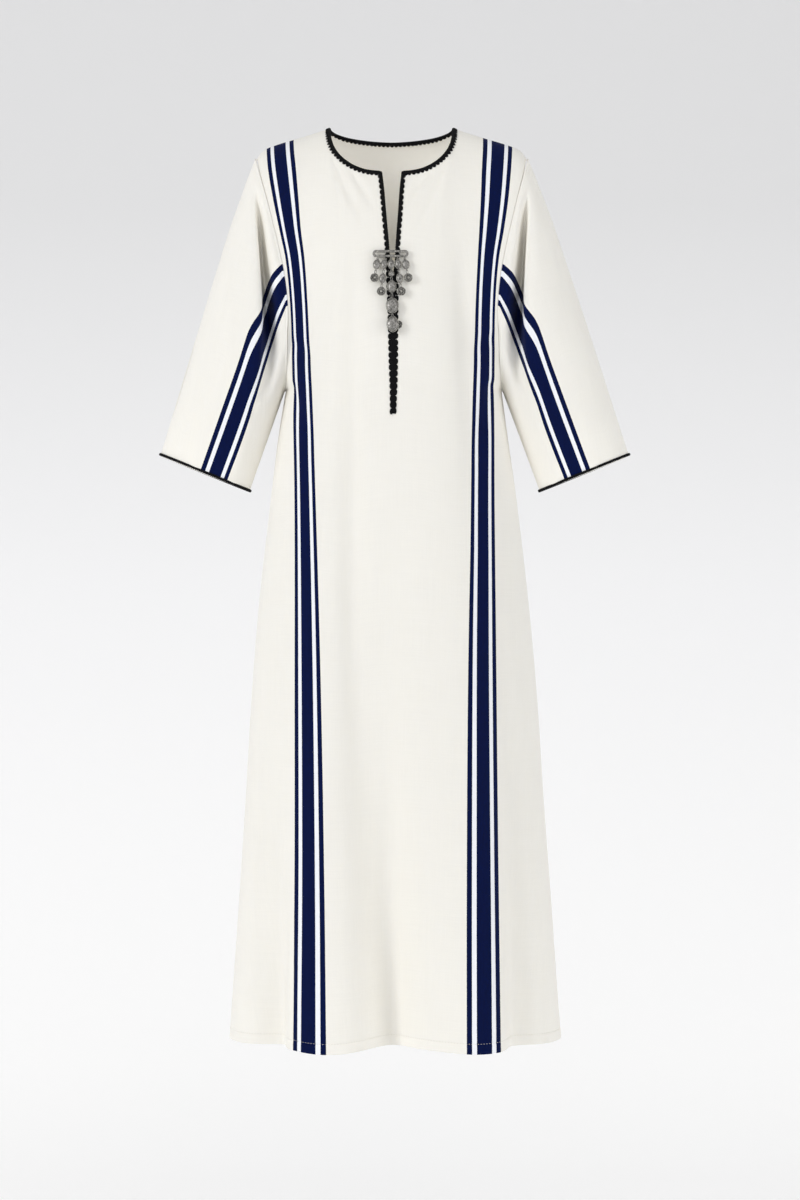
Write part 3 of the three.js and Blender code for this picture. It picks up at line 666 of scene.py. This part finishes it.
def linear(r, g, b):
    """An sRGB colour, 0 to 255, as linear light."""
    return tuple((c / 255 / 12.92) if c <= 10 else ((c / 255 + 0.055) / 1.055) ** 2.4 for c in (r, g, b))


IVORY = linear(240, 237, 229)
WHITE = linear(240, 243, 250)
NAVY = linear(0, 13, 60)
STRIPE_EDGES = (0, 0.137, 0.258, 0.703, 0.842, 1)  # across a group, from its outer edge
STRIPE_DYES = (NAVY, WHITE, NAVY, WHITE, NAVY, IVORY)
STRIPE_STOPS = [(0, IVORY)] + [(0.25 + at / 2, dye) for at, dye in zip(STRIPE_EDGES, STRIPE_DYES)]
THREAD = 0.0009
SLUB_SCALES = ((900, 14, 1), (14, 900, 1))


def cloth_material():
    material, tree, shader = new_material("striped_cloth")
    at = add(tree, "UVMap", uv_map="cloth").outputs[0]
    split = add(tree, "SeparateXYZ", {0: at}).outputs
    stripe = add(tree, "SeparateXYZ", {0: add(tree, "UVMap", uv_map="stripe").outputs[0]}).outputs[0]
    edge = maths(tree, "MULTIPLY", maths(tree, "SUBTRACT", noise(tree, at, 900, 1), 0.5), 0.012)
    place = maths(tree, "MULTIPLY_ADD", maths(tree, "ADD", stripe, edge), 0.5, 0.25)
    dye = ramp(tree, place, STRIPE_STOPS, "CONSTANT")
    # Threads: long slubs both ways, and the over and under of a plain weave.
    ways = [add(tree, "Mapping", {"Vector": at, "Scale": scale}).outputs[0] for scale in SLUB_SCALES]
    slub = maths(tree, "ADD", *(noise(tree, way, 1, 2) for way in ways))
    over = [maths(tree, "SINE", maths(tree, "MULTIPLY", split[k], 2 * math.pi / THREAD)) for k in (0, 1)]
    weave = maths(tree, "MULTIPLY", *over)
    tone = maths(tree, "MULTIPLY_ADD", slub, 0.05, 0.94)
    tone = maths(tree, "MULTIPLY_ADD", maths(tree, "SUBTRACT", noise(tree, at, 9, 3), 0.5), 0.035, tone)
    tone = maths(tree, "MULTIPLY_ADD", weave, 0.012, tone)
    grey = add(tree, "CombineColor", {0: tone, 1: tone, 2: tone}).outputs[0]
    soft = bump(tree, noise(tree, at, 38, 4, 0.55), 0.16, 0.004)
    height = maths(tree, "MULTIPLY_ADD", weave, 0.35, slub)
    look = {
        "Base Color": times(tree, dye, grey),
        "Roughness": maths(tree, "MULTIPLY_ADD", slub, 0.12, 0.72),
        "Normal": bump(tree, height, 0.22, 0.0003, Normal=soft),
        "Sheen Weight": 0.02,
        "Sheen Roughness": 0.5,
        "Subsurface Weight": 0.4,
        "Subsurface Radius": (1, 0.95, 0.85),
        "Subsurface Scale": 0.004,
        "Specular IOR Level": 0.1,
    }
    feed(tree, shader, look)
    return material


# Painted light on the cloth's inner side: how strongly it glows, the grey it dims to lower down, and how that
# dimming runs with height.
PAINTED_INNER_GLOW = 0.3
PAINTED_GLOW_BELOW = (82, 78, 72)
PAINTED_GLOW_RISE = (10, 1.5)


def inside_material(outside):
    """The cloth's inner side, with painted light: it glows a little, standing in for light that soaks through
    thin cloth, and the glow is painted brighter near the neck and dimmer further down, standing in for light
    that comes in at the neck.
    """
    material = outside.copy()
    material.name = "cloth_inside"
    tree = material.node_tree
    shader = tree.nodes["Principled BSDF"]
    dye = shader.inputs["Base Color"].links[0].from_socket
    height = add(tree, "SeparateXYZ", {0: place_in(tree)}).outputs[2]
    # Painted light: the glow is full near the neck and dims further down inside.
    share = maths(tree, "MULTIPLY_ADD", height, *PAINTED_GLOW_RISE)
    painted_inner_light = ramp(tree, share, ((0, linear(*PAINTED_GLOW_BELOW)), (1, (1, 1, 1))))
    feed(tree, shader, {"Emission Color": times(tree, dye, painted_inner_light), "Emission Strength": PAINTED_INNER_GLOW})
    return material


def braid_material():
    material, tree, shader = new_material("black_braid")
    fibre = noise(tree, place_in(tree), 1400, 3)
    look = {
        "Base Color": ramp(tree, fibre, ((0.3, linear(2, 2, 4)), (0.75, linear(15, 15, 18)))),
        "Roughness": maths(tree, "MULTIPLY_ADD", fibre, 0.2, 0.62),
        "Normal": bump(tree, fibre, 0.5, 0.0004),
        "Sheen Weight": 0.02,
        "Specular IOR Level": 0.12,
    }
    feed(tree, shader, look)
    return material


def thread_material():
    material, tree, shader = new_material("ivory_thread")
    twist = noise(tree, place_in(tree), 2200, 2)
    colour = ramp(tree, twist, ((0.3, linear(206, 201, 190)), (0.7, linear(236, 232, 222))))
    feed(tree, shader, {"Base Color": colour, "Roughness": maths(tree, "MULTIPLY_ADD", twist, 0.2, 0.6)})
    return material


def pewter_material(name, low, middle, high, smooth):
    """Antique metal: three greys from hollows to high spots, and the roughness of its smoothest parts."""
    material, tree, shader = new_material(name)
    at = place_in(tree)
    cloud = noise(tree, at, 420, 5, 0.6)
    chased = add(tree, "TexVoronoi", {"Vector": at, "Scale": 780}, feature="F1").outputs["Distance"]
    tone = maths(tree, "MULTIPLY_ADD", chased, 0.35, cloud)
    height = maths(tree, "MULTIPLY_ADD", chased, 0.8, cloud)
    look = {
        "Base Color": ramp(tree, tone, ((0.38, linear(*low)), (0.6, linear(*middle)), (0.82, linear(*high)))),
        "Roughness": maths(tree, "MULTIPLY_ADD", noise(tree, at, 1500, 3), 0.3, smooth),
        "Normal": bump(tree, height, 0.45, 0.0004),
        "Metallic": 0.85,
    }
    feed(tree, shader, look)
    return material


cloth = cloth_material()
cloths = (cloth, inside_material(cloth))
braid = braid_material()
thread = thread_material()
# The second pewter is lighter and shinier than the body: a painted highlight on raised rims, beads and wire
# wraps. The third is a darker pewter.
BODY_METAL, RIM_HIGHLIGHT_METAL, DARK_METAL = range(3)
pewters = (
    pewter_material("pewter", (52, 51, 50), (116, 114, 111), (170, 168, 164), 0.24),
    pewter_material("rim_highlight_pewter", (84, 82, 78), (142, 140, 134), (208, 206, 198), 0.16),
    pewter_material("dark_pewter", (16, 16, 17), (46, 45, 45), (96, 94, 92), 0.28),
)


class Solid:
    """Points and faces gathered from several closed pieces, each in the material that slot names."""

    def __init__(self):
        self.points, self.faces, self.slots, self.count = [], [], [], 0
        self.slot = BODY_METAL

    def loft(self, rings, closed=False, tips=None):
        """Rings of points joined one to the next. Flat ends or two tips close them, unless they go round."""
        count, sides = np.shape(rings)[:2]
        points = np.reshape(rings, (-1, 3))
        faces = grid_quads(count, sides, 0, False, closed, True).tolist()
        first = np.arange(sides)
        last = first + (count - 1) * sides
        if tips is not None:
            points = np.concatenate([points, tips])
            ahead, end = np.roll(first, -1), count * sides
            faces += [[end, b, a] for a, b in zip(first, ahead)]
            faces += [[a, b, end + 1] for a, b in zip(last, last[ahead])]
        elif not closed:
            faces += [first[::-1], last]
        self.points.append(points)
        self.faces.extend((np.asarray(face) + self.count).tolist() for face in faces)
        self.slots.extend([self.slot] * len(faces))
        self.count += len(points)

    def tube(self, centres, radius, sides=8, closed=False):
        """A tube along a line of points; radius may be one number or one for each point."""
        centres = np.asarray(centres, float)
        ahead = np.roll(centres, -1, 0) - np.roll(centres, 1, 0) if closed else np.gradient(centres, axis=0)
        ahead = unit(ahead)
        aside = np.cross(ahead[0], (0, 0, 1) if abs(ahead[0][2]) < 0.9 else (0, 1, 0))
        radius = np.broadcast_to(radius, len(centres))
        angle = np.arange(sides) * 2 * math.pi / sides
        rings = []
        for centre, along, size in zip(centres, ahead, radius):
            aside = unit(aside - along * (aside @ along))
            up = np.cross(along, aside)
            rings.append(centre + size * (np.outer(np.cos(angle), aside) + np.outer(np.sin(angle), up)))
        self.loft(rings, closed)

    def blob(self, centre, axes, sides=10, rings=6):
        """An ellipsoid; axes are its three half axes as vectors."""
        around = -np.arange(sides)[:, None] * 2 * math.pi / sides
        polar = np.arange(1, rings)[:, None, None] * math.pi / rings
        flat = np.cos(around) * axes[0] + np.sin(around) * axes[1]
        level = centre + np.sin(polar) * flat + np.cos(polar) * axes[2]
        self.loft(level, tips=[centre + axes[2], centre - axes[2]])

    def lens(self, rim, depth, sink, centre):
        """A body inside a rim, domed to the front and to the back."""
        level = np.linspace(0, 1, 9)[:-1, None] * math.pi / 2
        bulge = (sink + (depth - sink) * np.sin(level)) * np.ones(len(rim))
        dome = rim * np.cos(level)[..., None]
        front, back = (dome + sign * bulge[..., None] * (0, 1, 0) for sign in (-1, 1))
        tips = np.array([(0, -depth, 0), (0, depth, 0)]) + centre
        self.loft(np.concatenate([front[::-1], back]) + centre, tips=tips)

    def ring(self, is_eye, place, length=2 * RING):
        """A small ring of wire. An eye turns its hole to the side, and a link turns its hole to the front.
        The lower half of a long link is drawn down."""
        angle = np.arange(RING_SIDES) * 2 * math.pi / RING_SIDES
        wide, high = RING * np.cos(angle), RING * np.sin(angle)
        high = high - np.where(high < -0.1, length - 2 * RING, 0)
        line = np.stack([wide * (not is_eye), wide * is_eye, high], -1)
        self.tube(line + place, RING_WIRE, 7, closed=True)

    def cap(self, *stack):
        """A small turned cap, from its heights and radii."""
        self.tube([(0, 0, height) for height, _ in stack], [radius for _, radius in stack], 12)

    def object(self, name, *materials):
        made = mesh_object(name, np.concatenate(self.points), self.faces, materials)
        made.data.polygons.foreach_set("material_index", self.slots)
        return made


def along_line(points, others, pitch):
    """A line of points and what goes with them, taken again at even steps near a pitch."""
    far = np.concatenate([[0], np.cumsum(np.linalg.norm(np.diff(points, axis=0), axis=1))])
    count = max(int(round(far[-1] / pitch)), 2)
    at = np.linspace(0, far[-1], count + 1)

    def take(values):
        return np.stack([np.interp(at, far, values[:, k]) for k in range(3)], -1)

    return take(points), [unit(take(other)) for other in others], at


def make_neck_trim(front, back):
    """The scalloped braid up the slit, round the neck and down again."""

    def edge(grid, rows, columns, inward_from):
        point, normal = grid
        line, out = point[rows, columns], normal[rows, columns]
        inward = point[inward_from] - line
        return line, out, unit(inward - out * np.sum(inward * out, -1, keepdims=True))

    fronts, backs = [], []
    for half in (LEFT, RIGHT):
        point = front[half][0]
        top = len(point) - 1
        tip = int(np.argmin(np.abs(point[:, 0, 2] + SLIT_TIP_DOWN - 1)))
        rows, columns = np.arange(tip, top - 1), np.arange(1, np.argmax(point[top, :, 2]))
        slit = edge(front[half], rows, 0, (rows, 1))
        neck = edge(front[half], top, columns, (top - 6, columns))
        fronts.append([np.concatenate(pair) for pair in zip(slit, neck)])
        columns = np.arange(np.argmax(back[half][0][top, :, 2]))
        line, out, inward = edge(back[half], top, columns, (top - 6, columns))
        stand = BACK_UPRIGHT * smoothstep(NECK_HALF_WIDTH - np.abs(line[:, :1]), 2, 30)
        inward = unit(lerp(inward, np.array([0, 0, -1.0]), stand))
        backs.append((line, unit(out - inward * np.sum(out * inward, -1, keepdims=True)), inward))
    line, out, old = (
        np.concatenate([fronts[0][k], backs[0][k][::-1], backs[1][k][1:], fronts[1][k][::-1]])
        for k in range(3)
    )
    inward = unit(np.cross(out, unit(np.gradient(line, axis=0))))
    return line, out, inward * np.sign(np.sum(inward * old))


def braid_rows(solid, line, out, inward, slit_length):
    """Two plied cords round an edge, with a row of looped lobes on the cloth beside them."""
    points, (outs, ins), at = along_line(line, [out, inward], BRAID_STEP)
    points[4:-4] = sum(np.roll(points, k, 0) * w for k, w in CORNER_BLEND)[4:-4]
    # The braid goes round the two high shoulder points in a small curve.
    near_tip = smoothstep(np.abs(points[:, :1]), NECK_HALF_WIDTH - 12, NECK_HALF_WIDTH - 3)
    side = np.sign(points[:, :1]) * (1, 0, 0) + (0, 1, 1)
    round_tip = sum(np.roll(points, k, 0) for k in range(-TIP_ROUND, TIP_ROUND + 1)) / (2 * TIP_ROUND + 1)
    points = lerp(points, round_tip, near_tip)
    outs = unit(lerp(outs, side * TIP_OUT, near_tip))
    ins = unit(lerp(ins, side * TIP_ACROSS, near_tip))
    total = at[-1]
    from_tip = np.minimum(at, total - at)
    lift = SLIT_LIFT * smoothstep(slit_length - from_tip, -6, 6)
    on_neck = smoothstep(from_tip, slit_length - 3, slit_length + 6)
    fuller = lerp(NECK_FULLER[FRONT], NECK_FULLER[BACK], smoothstep(points[:, 1], -10, 10))
    shrink = lerp(TIP_SHRINK, 1, smoothstep(from_tip, 0, 90)) * lerp(1, fuller, on_neck)
    down = -points[:, 2]
    closing = read(SLIT, "half", down) * smoothstep(down, *SLIT_CLOSED) * (1 - on_neck)
    core = points + outs * lift[:, None] + ins * (CORE_INSET * shrink - closing)[:, None]
    for k in range(2):
        phase = 2 * math.pi * at / CORD_PITCH + k * math.pi
        twist = outs * (0.7 * np.cos(phase))[:, None] + ins * (np.sin(phase) * shrink)[:, None]
        solid.tube(core + twist, CORD_RADIUS * shrink + closing / 5)
    place = 2.5
    while place < total - 1.5:
        near_tip = min(place, total - place)
        on_slit = near_tip < slit_length
        pitch, inset, reach = SLIT_LOBE if on_slit else NECK_LOBE
        thick = LOBE_THICK["slit" if on_slit else "neck"]
        k = min(int(np.searchsorted(at, place)), len(at) - 1)
        ahead = unit(np.cross(outs[k], ins[k]))
        reach, inset = reach * shrink[k], inset * shrink[k]
        base = points[k] + ins[k] * inset + outs[k] * lift[k]
        solid.blob(base, (ahead * pitch * 0.47, ins[k] * reach, outs[k] * thick), sides=14, rings=7)
        for share in (0.55, 0.98):
            angle = np.linspace(-0.15, math.pi + 0.15, 12)
            arc = base + np.outer(np.cos(angle) * pitch * 0.46 * share, ahead)
            arc = arc + np.outer(np.sin(angle) * reach * share, ins[k])
            height = thick * math.sqrt(max(1 - share**2, 0.05))
            for face in (1,) if on_slit else (1, -1):
                solid.tube(arc + face * outs[k] * height * 0.9, LOOP_WIRE, 6)
        place += pitch


def make_cuff_braid(side, name):
    """A thin plied cord round a cuff, just above its edge."""
    turn = np.linspace(0, 1, 60)

    def ring(at):
        along = np.full_like(turn, at)
        halves = sleeve_point(side, FRONT, turn, along), sleeve_point(side, BACK, turn[::-1], along)[1:-1]
        return np.concatenate(halves)

    line = ring(CUFF_BRAID_AT)
    up = unit(ring(CUFF_BRAID_AT - 0.03) - line)
    out = unit(np.cross(up, unit(np.roll(line, -1, 0) - np.roll(line, 1, 0)))) * side
    line, out, up = (np.concatenate([values, values[:1]]) for values in (line, out, up))
    points, (outs, ups), at = along_line(line, [out, up], 1)
    turns = round(at[-1] / CUFF_PITCH)
    solid = Solid()
    for k in range(2):
        phase = 2 * math.pi * turns * at / at[-1] + k * math.pi
        helix = points + outs * (1.5 + 0.55 * np.cos(phase))[:, None] + ups * (0.9 * np.sin(phase))[:, None]
        solid.tube(helix[:-1], CUFF_CORD, closed=True)
    return solid.object(name, braid)


def make_stitches(grids, name):
    """A row of short stitches round the hem of one panel."""
    solid = Solid()
    for half in (LEFT, RIGHT):
        point, normal = grids[half]
        row = int(np.argmin(np.abs(run(point, 0)[:, 20] - HEM_STITCH)))
        points, (outs,), _ = along_line(point[row], [normal[row]], STITCH_STEP)
        surface = points + outs * CLOTH / 2
        for start in range(1, len(points) - 4, 4):
            part = slice(start, start + 3)
            solid.tube(surface[part] + outs[part] * [[-0.1], [0.22], [-0.1]], 0.24, 5)
    return solid.object(name, thread)


def outline(kind, width, height):
    """Outline of a drop seen from the front, round its middle."""
    count = 48 if kind == "coin" else 40
    angle = np.arange(count) * 2 * math.pi / count
    x, z = np.sin(angle), np.cos(angle)
    if kind in ("outer", "inner", "last"):
        x = x * (1 - 0.24 * np.abs(z) ** 2.2)
    return np.stack([x * width / 2, np.zeros(count), z * height / 2], -1)


def add_coin(solid, rim, width, middle):
    """A thin disc with raised rings, a boss and a circle of beads on both faces."""
    solid.slot = DARK_METAL
    solid.lens(rim * 0.97, 0.55, 0.5, middle)
    # Rings, boss and beads in the lighter pewter: painted highlight.
    solid.slot = RIM_HIGHLIGHT_METAL
    for sign in (-1, 1):
        for share, wire, lift in ((0.93, 0.5, 0.42), (0.6, 0.32, 0.5), (0.3, 0.26, 0.5)):
            solid.tube(rim * share + middle + (0, sign * lift, 0), wire, closed=True)
        spot = middle + (0, sign * 0.5, 0)
        solid.blob(spot, np.diag([1.3, 0.4, 1.3]), 12)
        for turn in np.arange(18) * math.pi / 9:
            bead = spot + np.array([math.sin(turn), 0, math.cos(turn)]) * width * 0.385
            solid.blob(bead, np.diag([0.42, 0.35, 0.42]), 7, 4)


def add_shadow_disc(solid, depth, middle):
    """A painted shadow: a dark disc behind the last drop and off to its side, where the drop's shadow falls,
    with the pin that holds it.
    """
    aside, radius = SHADOW_DISC
    disc = outline("shadow disc", 2 * radius, 2 * radius)
    place = middle + (aside, depth / 2 + 0.8, 0)
    # Painted shadow: the disc itself in the dark pewter.
    solid.slot = DARK_METAL
    solid.lens(disc, 0.6, 0.4, place)
    # Its rings in the lighter pewter: painted highlight.
    solid.slot = RIM_HIGHLIGHT_METAL
    solid.tube(disc * 0.94 + place, 0.6, closed=True)
    solid.tube(disc * 0.5 + place - (0, 0.5, 0), 0.35, closed=True)
    solid.slot = BODY_METAL
    solid.tube([middle + (0, 1, 0), middle + (0, depth / 2 + 0.8, 0), place - (radius - 1, 0, 0)], 0.8)


def make_drop(name, kind, has_eye):
    """A drop with its link above and, where another hangs from it, an eye below."""
    width, height, depth, link = DROPS[kind]
    top = CAP_SINK - link
    low = top - height
    middle = np.array([0, 0, top - height / 2])
    solid = Solid()
    rim = outline(kind, width, height)
    if kind == "coin":
        add_coin(solid, rim, width, middle)
    else:
        solid.lens(rim * (0.93 if kind == "seed" else 0.86), depth / 2, 0.6, middle)
        if kind == "last":
            # The last drop gets a dark disc behind it as its painted shadow.
            add_shadow_disc(solid, depth, middle)
        # The rim in the lighter pewter: painted highlight.
        solid.slot = RIM_HIGHLIGHT_METAL
        solid.tube(rim * 0.955 + middle, 0.5, closed=True)
        if kind in ("large", "last", "centre"):
            # A beaded border round the dome, front and back.
            for sign in (-1, 1):
                for spot in rim[::2] * 0.8:
                    solid.blob(spot + middle + (0, sign * depth * 0.33, 0), np.diag([0.5, 0.5, 0.5]), 7, 4)
    solid.slot = BODY_METAL
    solid.ring(False, (0, 0, -RING), link)
    solid.cap((top - 1.2, 1.5), (top - 0.3, 1.15), (top + 0.15, 0.7))
    if has_eye:
        solid.ring(True, (0, 0, -drop_reach(kind)))
        solid.cap((low + 1, 1.3), (low + 0.3, 0.9), (low, 0.6))
    return solid.object(name, *pewters)


def drop_reach(kind):
    """How far below its own joint a drop's eye sits."""
    return DROPS[kind][3] + DROPS[kind][1] - CAP_SINK + EYE_SINK


def make_bar():
    """The long open ring, wrapped with a few turns of wire, with an eye for each strand."""
    solid = Solid()
    thick = BAR["wire"] / 2
    half = BAR["height"] / 2 - thick
    straight = BAR["length"] / 2 - BAR["height"] / 2
    level = np.linspace(-straight, straight, 22)
    bend = np.linspace(math.pi / 2, -math.pi / 2, 14)[1:-1]
    right = np.stack([straight + half * np.cos(bend), 0 * bend, half * np.sin(bend)], -1)
    upper = np.stack([level, 0 * level, 0 * level + half], -1)
    solid.tube(np.concatenate([upper, right, -upper, -right]), thick - 0.12, 14, closed=True)
    # The wire wraps in the lighter pewter: painted highlight.
    solid.slot = RIM_HIGHLIGHT_METAL
    turn = np.arange(12) * math.pi / 6
    wrap = np.stack([0 * turn, np.cos(turn), np.sin(turn)], -1) * (thick - 0.2)
    for x in WRAPS:
        for z in (half, -half):
            solid.tube(wrap + (x, 0, z), 0.34, 6, closed=True)
    for x, _, _ in STRANDS:
        solid.ring(True, (x, -EYE_FORWARD, EYE_Z))
    return solid.object("clasp_ring", *pewters)


def place_on_clasp(made, x, y, z, fan=0):
    """Puts a piece of the clasp where it hangs, leaning with the cloth."""
    lean = Matrix.Rotation(-CLASP_LEAN, 4, "X")
    base = Matrix.Translation(Vector((BAR["x"], BAR["y"], -BAR["down"])) * MM)
    local = Matrix.Translation(Vector((x, y, z)) * MM) @ Matrix.Rotation(fan, 4, "Y")
    made.data.transform(base @ lean @ local)


def dress(made, body, *nodes, slot):
    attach(made, body)
    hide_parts(*nodes)


front_panel, front_grids = make_panel(FRONT, "front_cloth")
back_panel, back_grids = make_panel(BACK, "back_cloth")
left_sleeve = make_sleeve(LEFT, "left_sleeve_cloth")
right_sleeve = make_sleeve(RIGHT, "right_sleeve_cloth")
dress(front_panel, "garment", "front_panel", slot="cloth")
dress(back_panel, "garment", "back_panel", slot="cloth")
dress(left_sleeve, "garment", "sleeve_left", slot="cloth")
dress(right_sleeve, "garment", "sleeve_right", slot="cloth")

trim = Solid()
braid_rows(trim, *make_neck_trim(front_grids, back_grids), SLIT_TIP_DOWN - NECK_EDGE_DOWN)
neck_trim = trim.object("neck_trim", braid)
dress(neck_trim, "garment", "neck_braid", slot="braid")
for side, node in ((LEFT, "cuff_braid_left"), (RIGHT, "cuff_braid_right")):
    cuff = make_cuff_braid(side, node.replace("braid", "cord"))
    dress(cuff, "garment", node, slot="braid")

stitches = {}
for face, grids, label in ((FRONT, front_grids, "front"), (BACK, back_grids, "back")):
    stitches[face] = make_stitches(grids, label + "_hem_stitches")
    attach(stitches[face], "garment")

bar = make_bar()
place_on_clasp(bar, 0, 0, 0)
dress(bar, "garment", "clasp_bar", slot="metal")
for number, (x, fan, kinds) in enumerate(STRANDS, 1):
    turn = math.radians(fan)
    eye = [x, -EYE_FORWARD, EYE_Z]
    for k, kind in enumerate(kinds):
        node = f"strand_{number}_{kind}"
        piece = make_drop(node + "_drop", kind, k < len(kinds) - 1)
        place_on_clasp(piece, *eye, turn)
        dress(piece, node, node, slot="metal")
        reach = drop_reach(kind)
        eye[0] -= math.sin(turn) * reach
        eye[2] -= math.cos(turn) * reach


# Stage
# Painted shade on the backdrop: white at the floor, greying further up the wall.
BACKDROP_SHADE_STOPS = ((0, linear(255, 255, 255)), (0.5, linear(236, 236, 237)), (1, linear(215, 215, 216)))


def stage_material():
    material, tree, shader = new_material("backdrop")
    height = add(tree, "SeparateXYZ", {0: place_in(tree)}).outputs[2]
    # Painted shade: the backdrop's colour darkens with height.
    share = maths(tree, "MULTIPLY_ADD", height, 1 / 1.9, 1.7 / 1.9)
    look = {
        "Base Color": ramp(tree, share, BACKDROP_SHADE_STOPS),
        "Roughness": 1,
        "Specular IOR Level": 0,
        # The backdrop also gives off a faint, even light of its own.
        "Emission Color": (1, 1, 1, 1),
        "Emission Strength": 0.11,
    }
    feed(tree, shader, look)
    return material


def make_stage():
    """A floor that bends up into a wall, in metres."""
    floor_z, back_y, bend = -1.85, 2.6, 1.2
    profile = [(-7, floor_z), (0, floor_z)]
    for angle in np.linspace(0, math.pi / 2, 17):
        profile.append((back_y - bend + bend * math.sin(angle), floor_z + bend - bend * math.cos(angle)))
    profile.append((back_y, 4))
    points = [(x / MM, y / MM, z / MM) for y, z in profile for x in (-6, 6)]
    faces = [(2 * i, 2 * i + 1, 2 * i + 3, 2 * i + 2) for i in range(len(profile) - 1)]
    made = mesh_object("backdrop", points, faces, [stage_material()])


def area_light(name, place, target, size, power):
    data = bpy.data.lights.new(name, "AREA")
    data.shape = "RECTANGLE"
    data.size, data.size_y = size
    data.energy = power
    made = bpy.data.objects.new(name, data)
    made.location = place
    made.rotation_euler = (Vector(target) - Vector(place)).to_track_quat("-Z", "Y").to_euler()
    bpy.context.scene.collection.objects.link(made)


make_stage()
area_light("key", (-3.4, -3.0, 0.7), (0, 0, -0.65), (1.3, 2.2), 84)
area_light("front", (0.4, -3.4, 2.3), (0, 0, -0.3), (2.2, 1.4), 15)
area_light("fill", (3.6, -2.4, -0.3), (0, 0, -0.8), (2.0, 2.6), 42)
world = bpy.data.worlds.new("studio")
world.use_nodes = True
world.node_tree.nodes["Background"].inputs["Color"].default_value = (1, 1, 1, 1)
world.node_tree.nodes["Background"].inputs["Strength"].default_value = 0.54
bpy.context.scene.world = world
bpy.context.scene.view_settings.view_transform = "Standard"

camera_data = bpy.data.cameras.new("camera")
camera_data.lens = 98.7
camera = bpy.data.objects.new("camera", camera_data)
camera.location = (0.013, -5.0, -0.714)
camera.rotation_euler = (math.pi / 2, 0, 0)
bpy.context.scene.collection.objects.link(camera)
bpy.context.scene.camera = camera
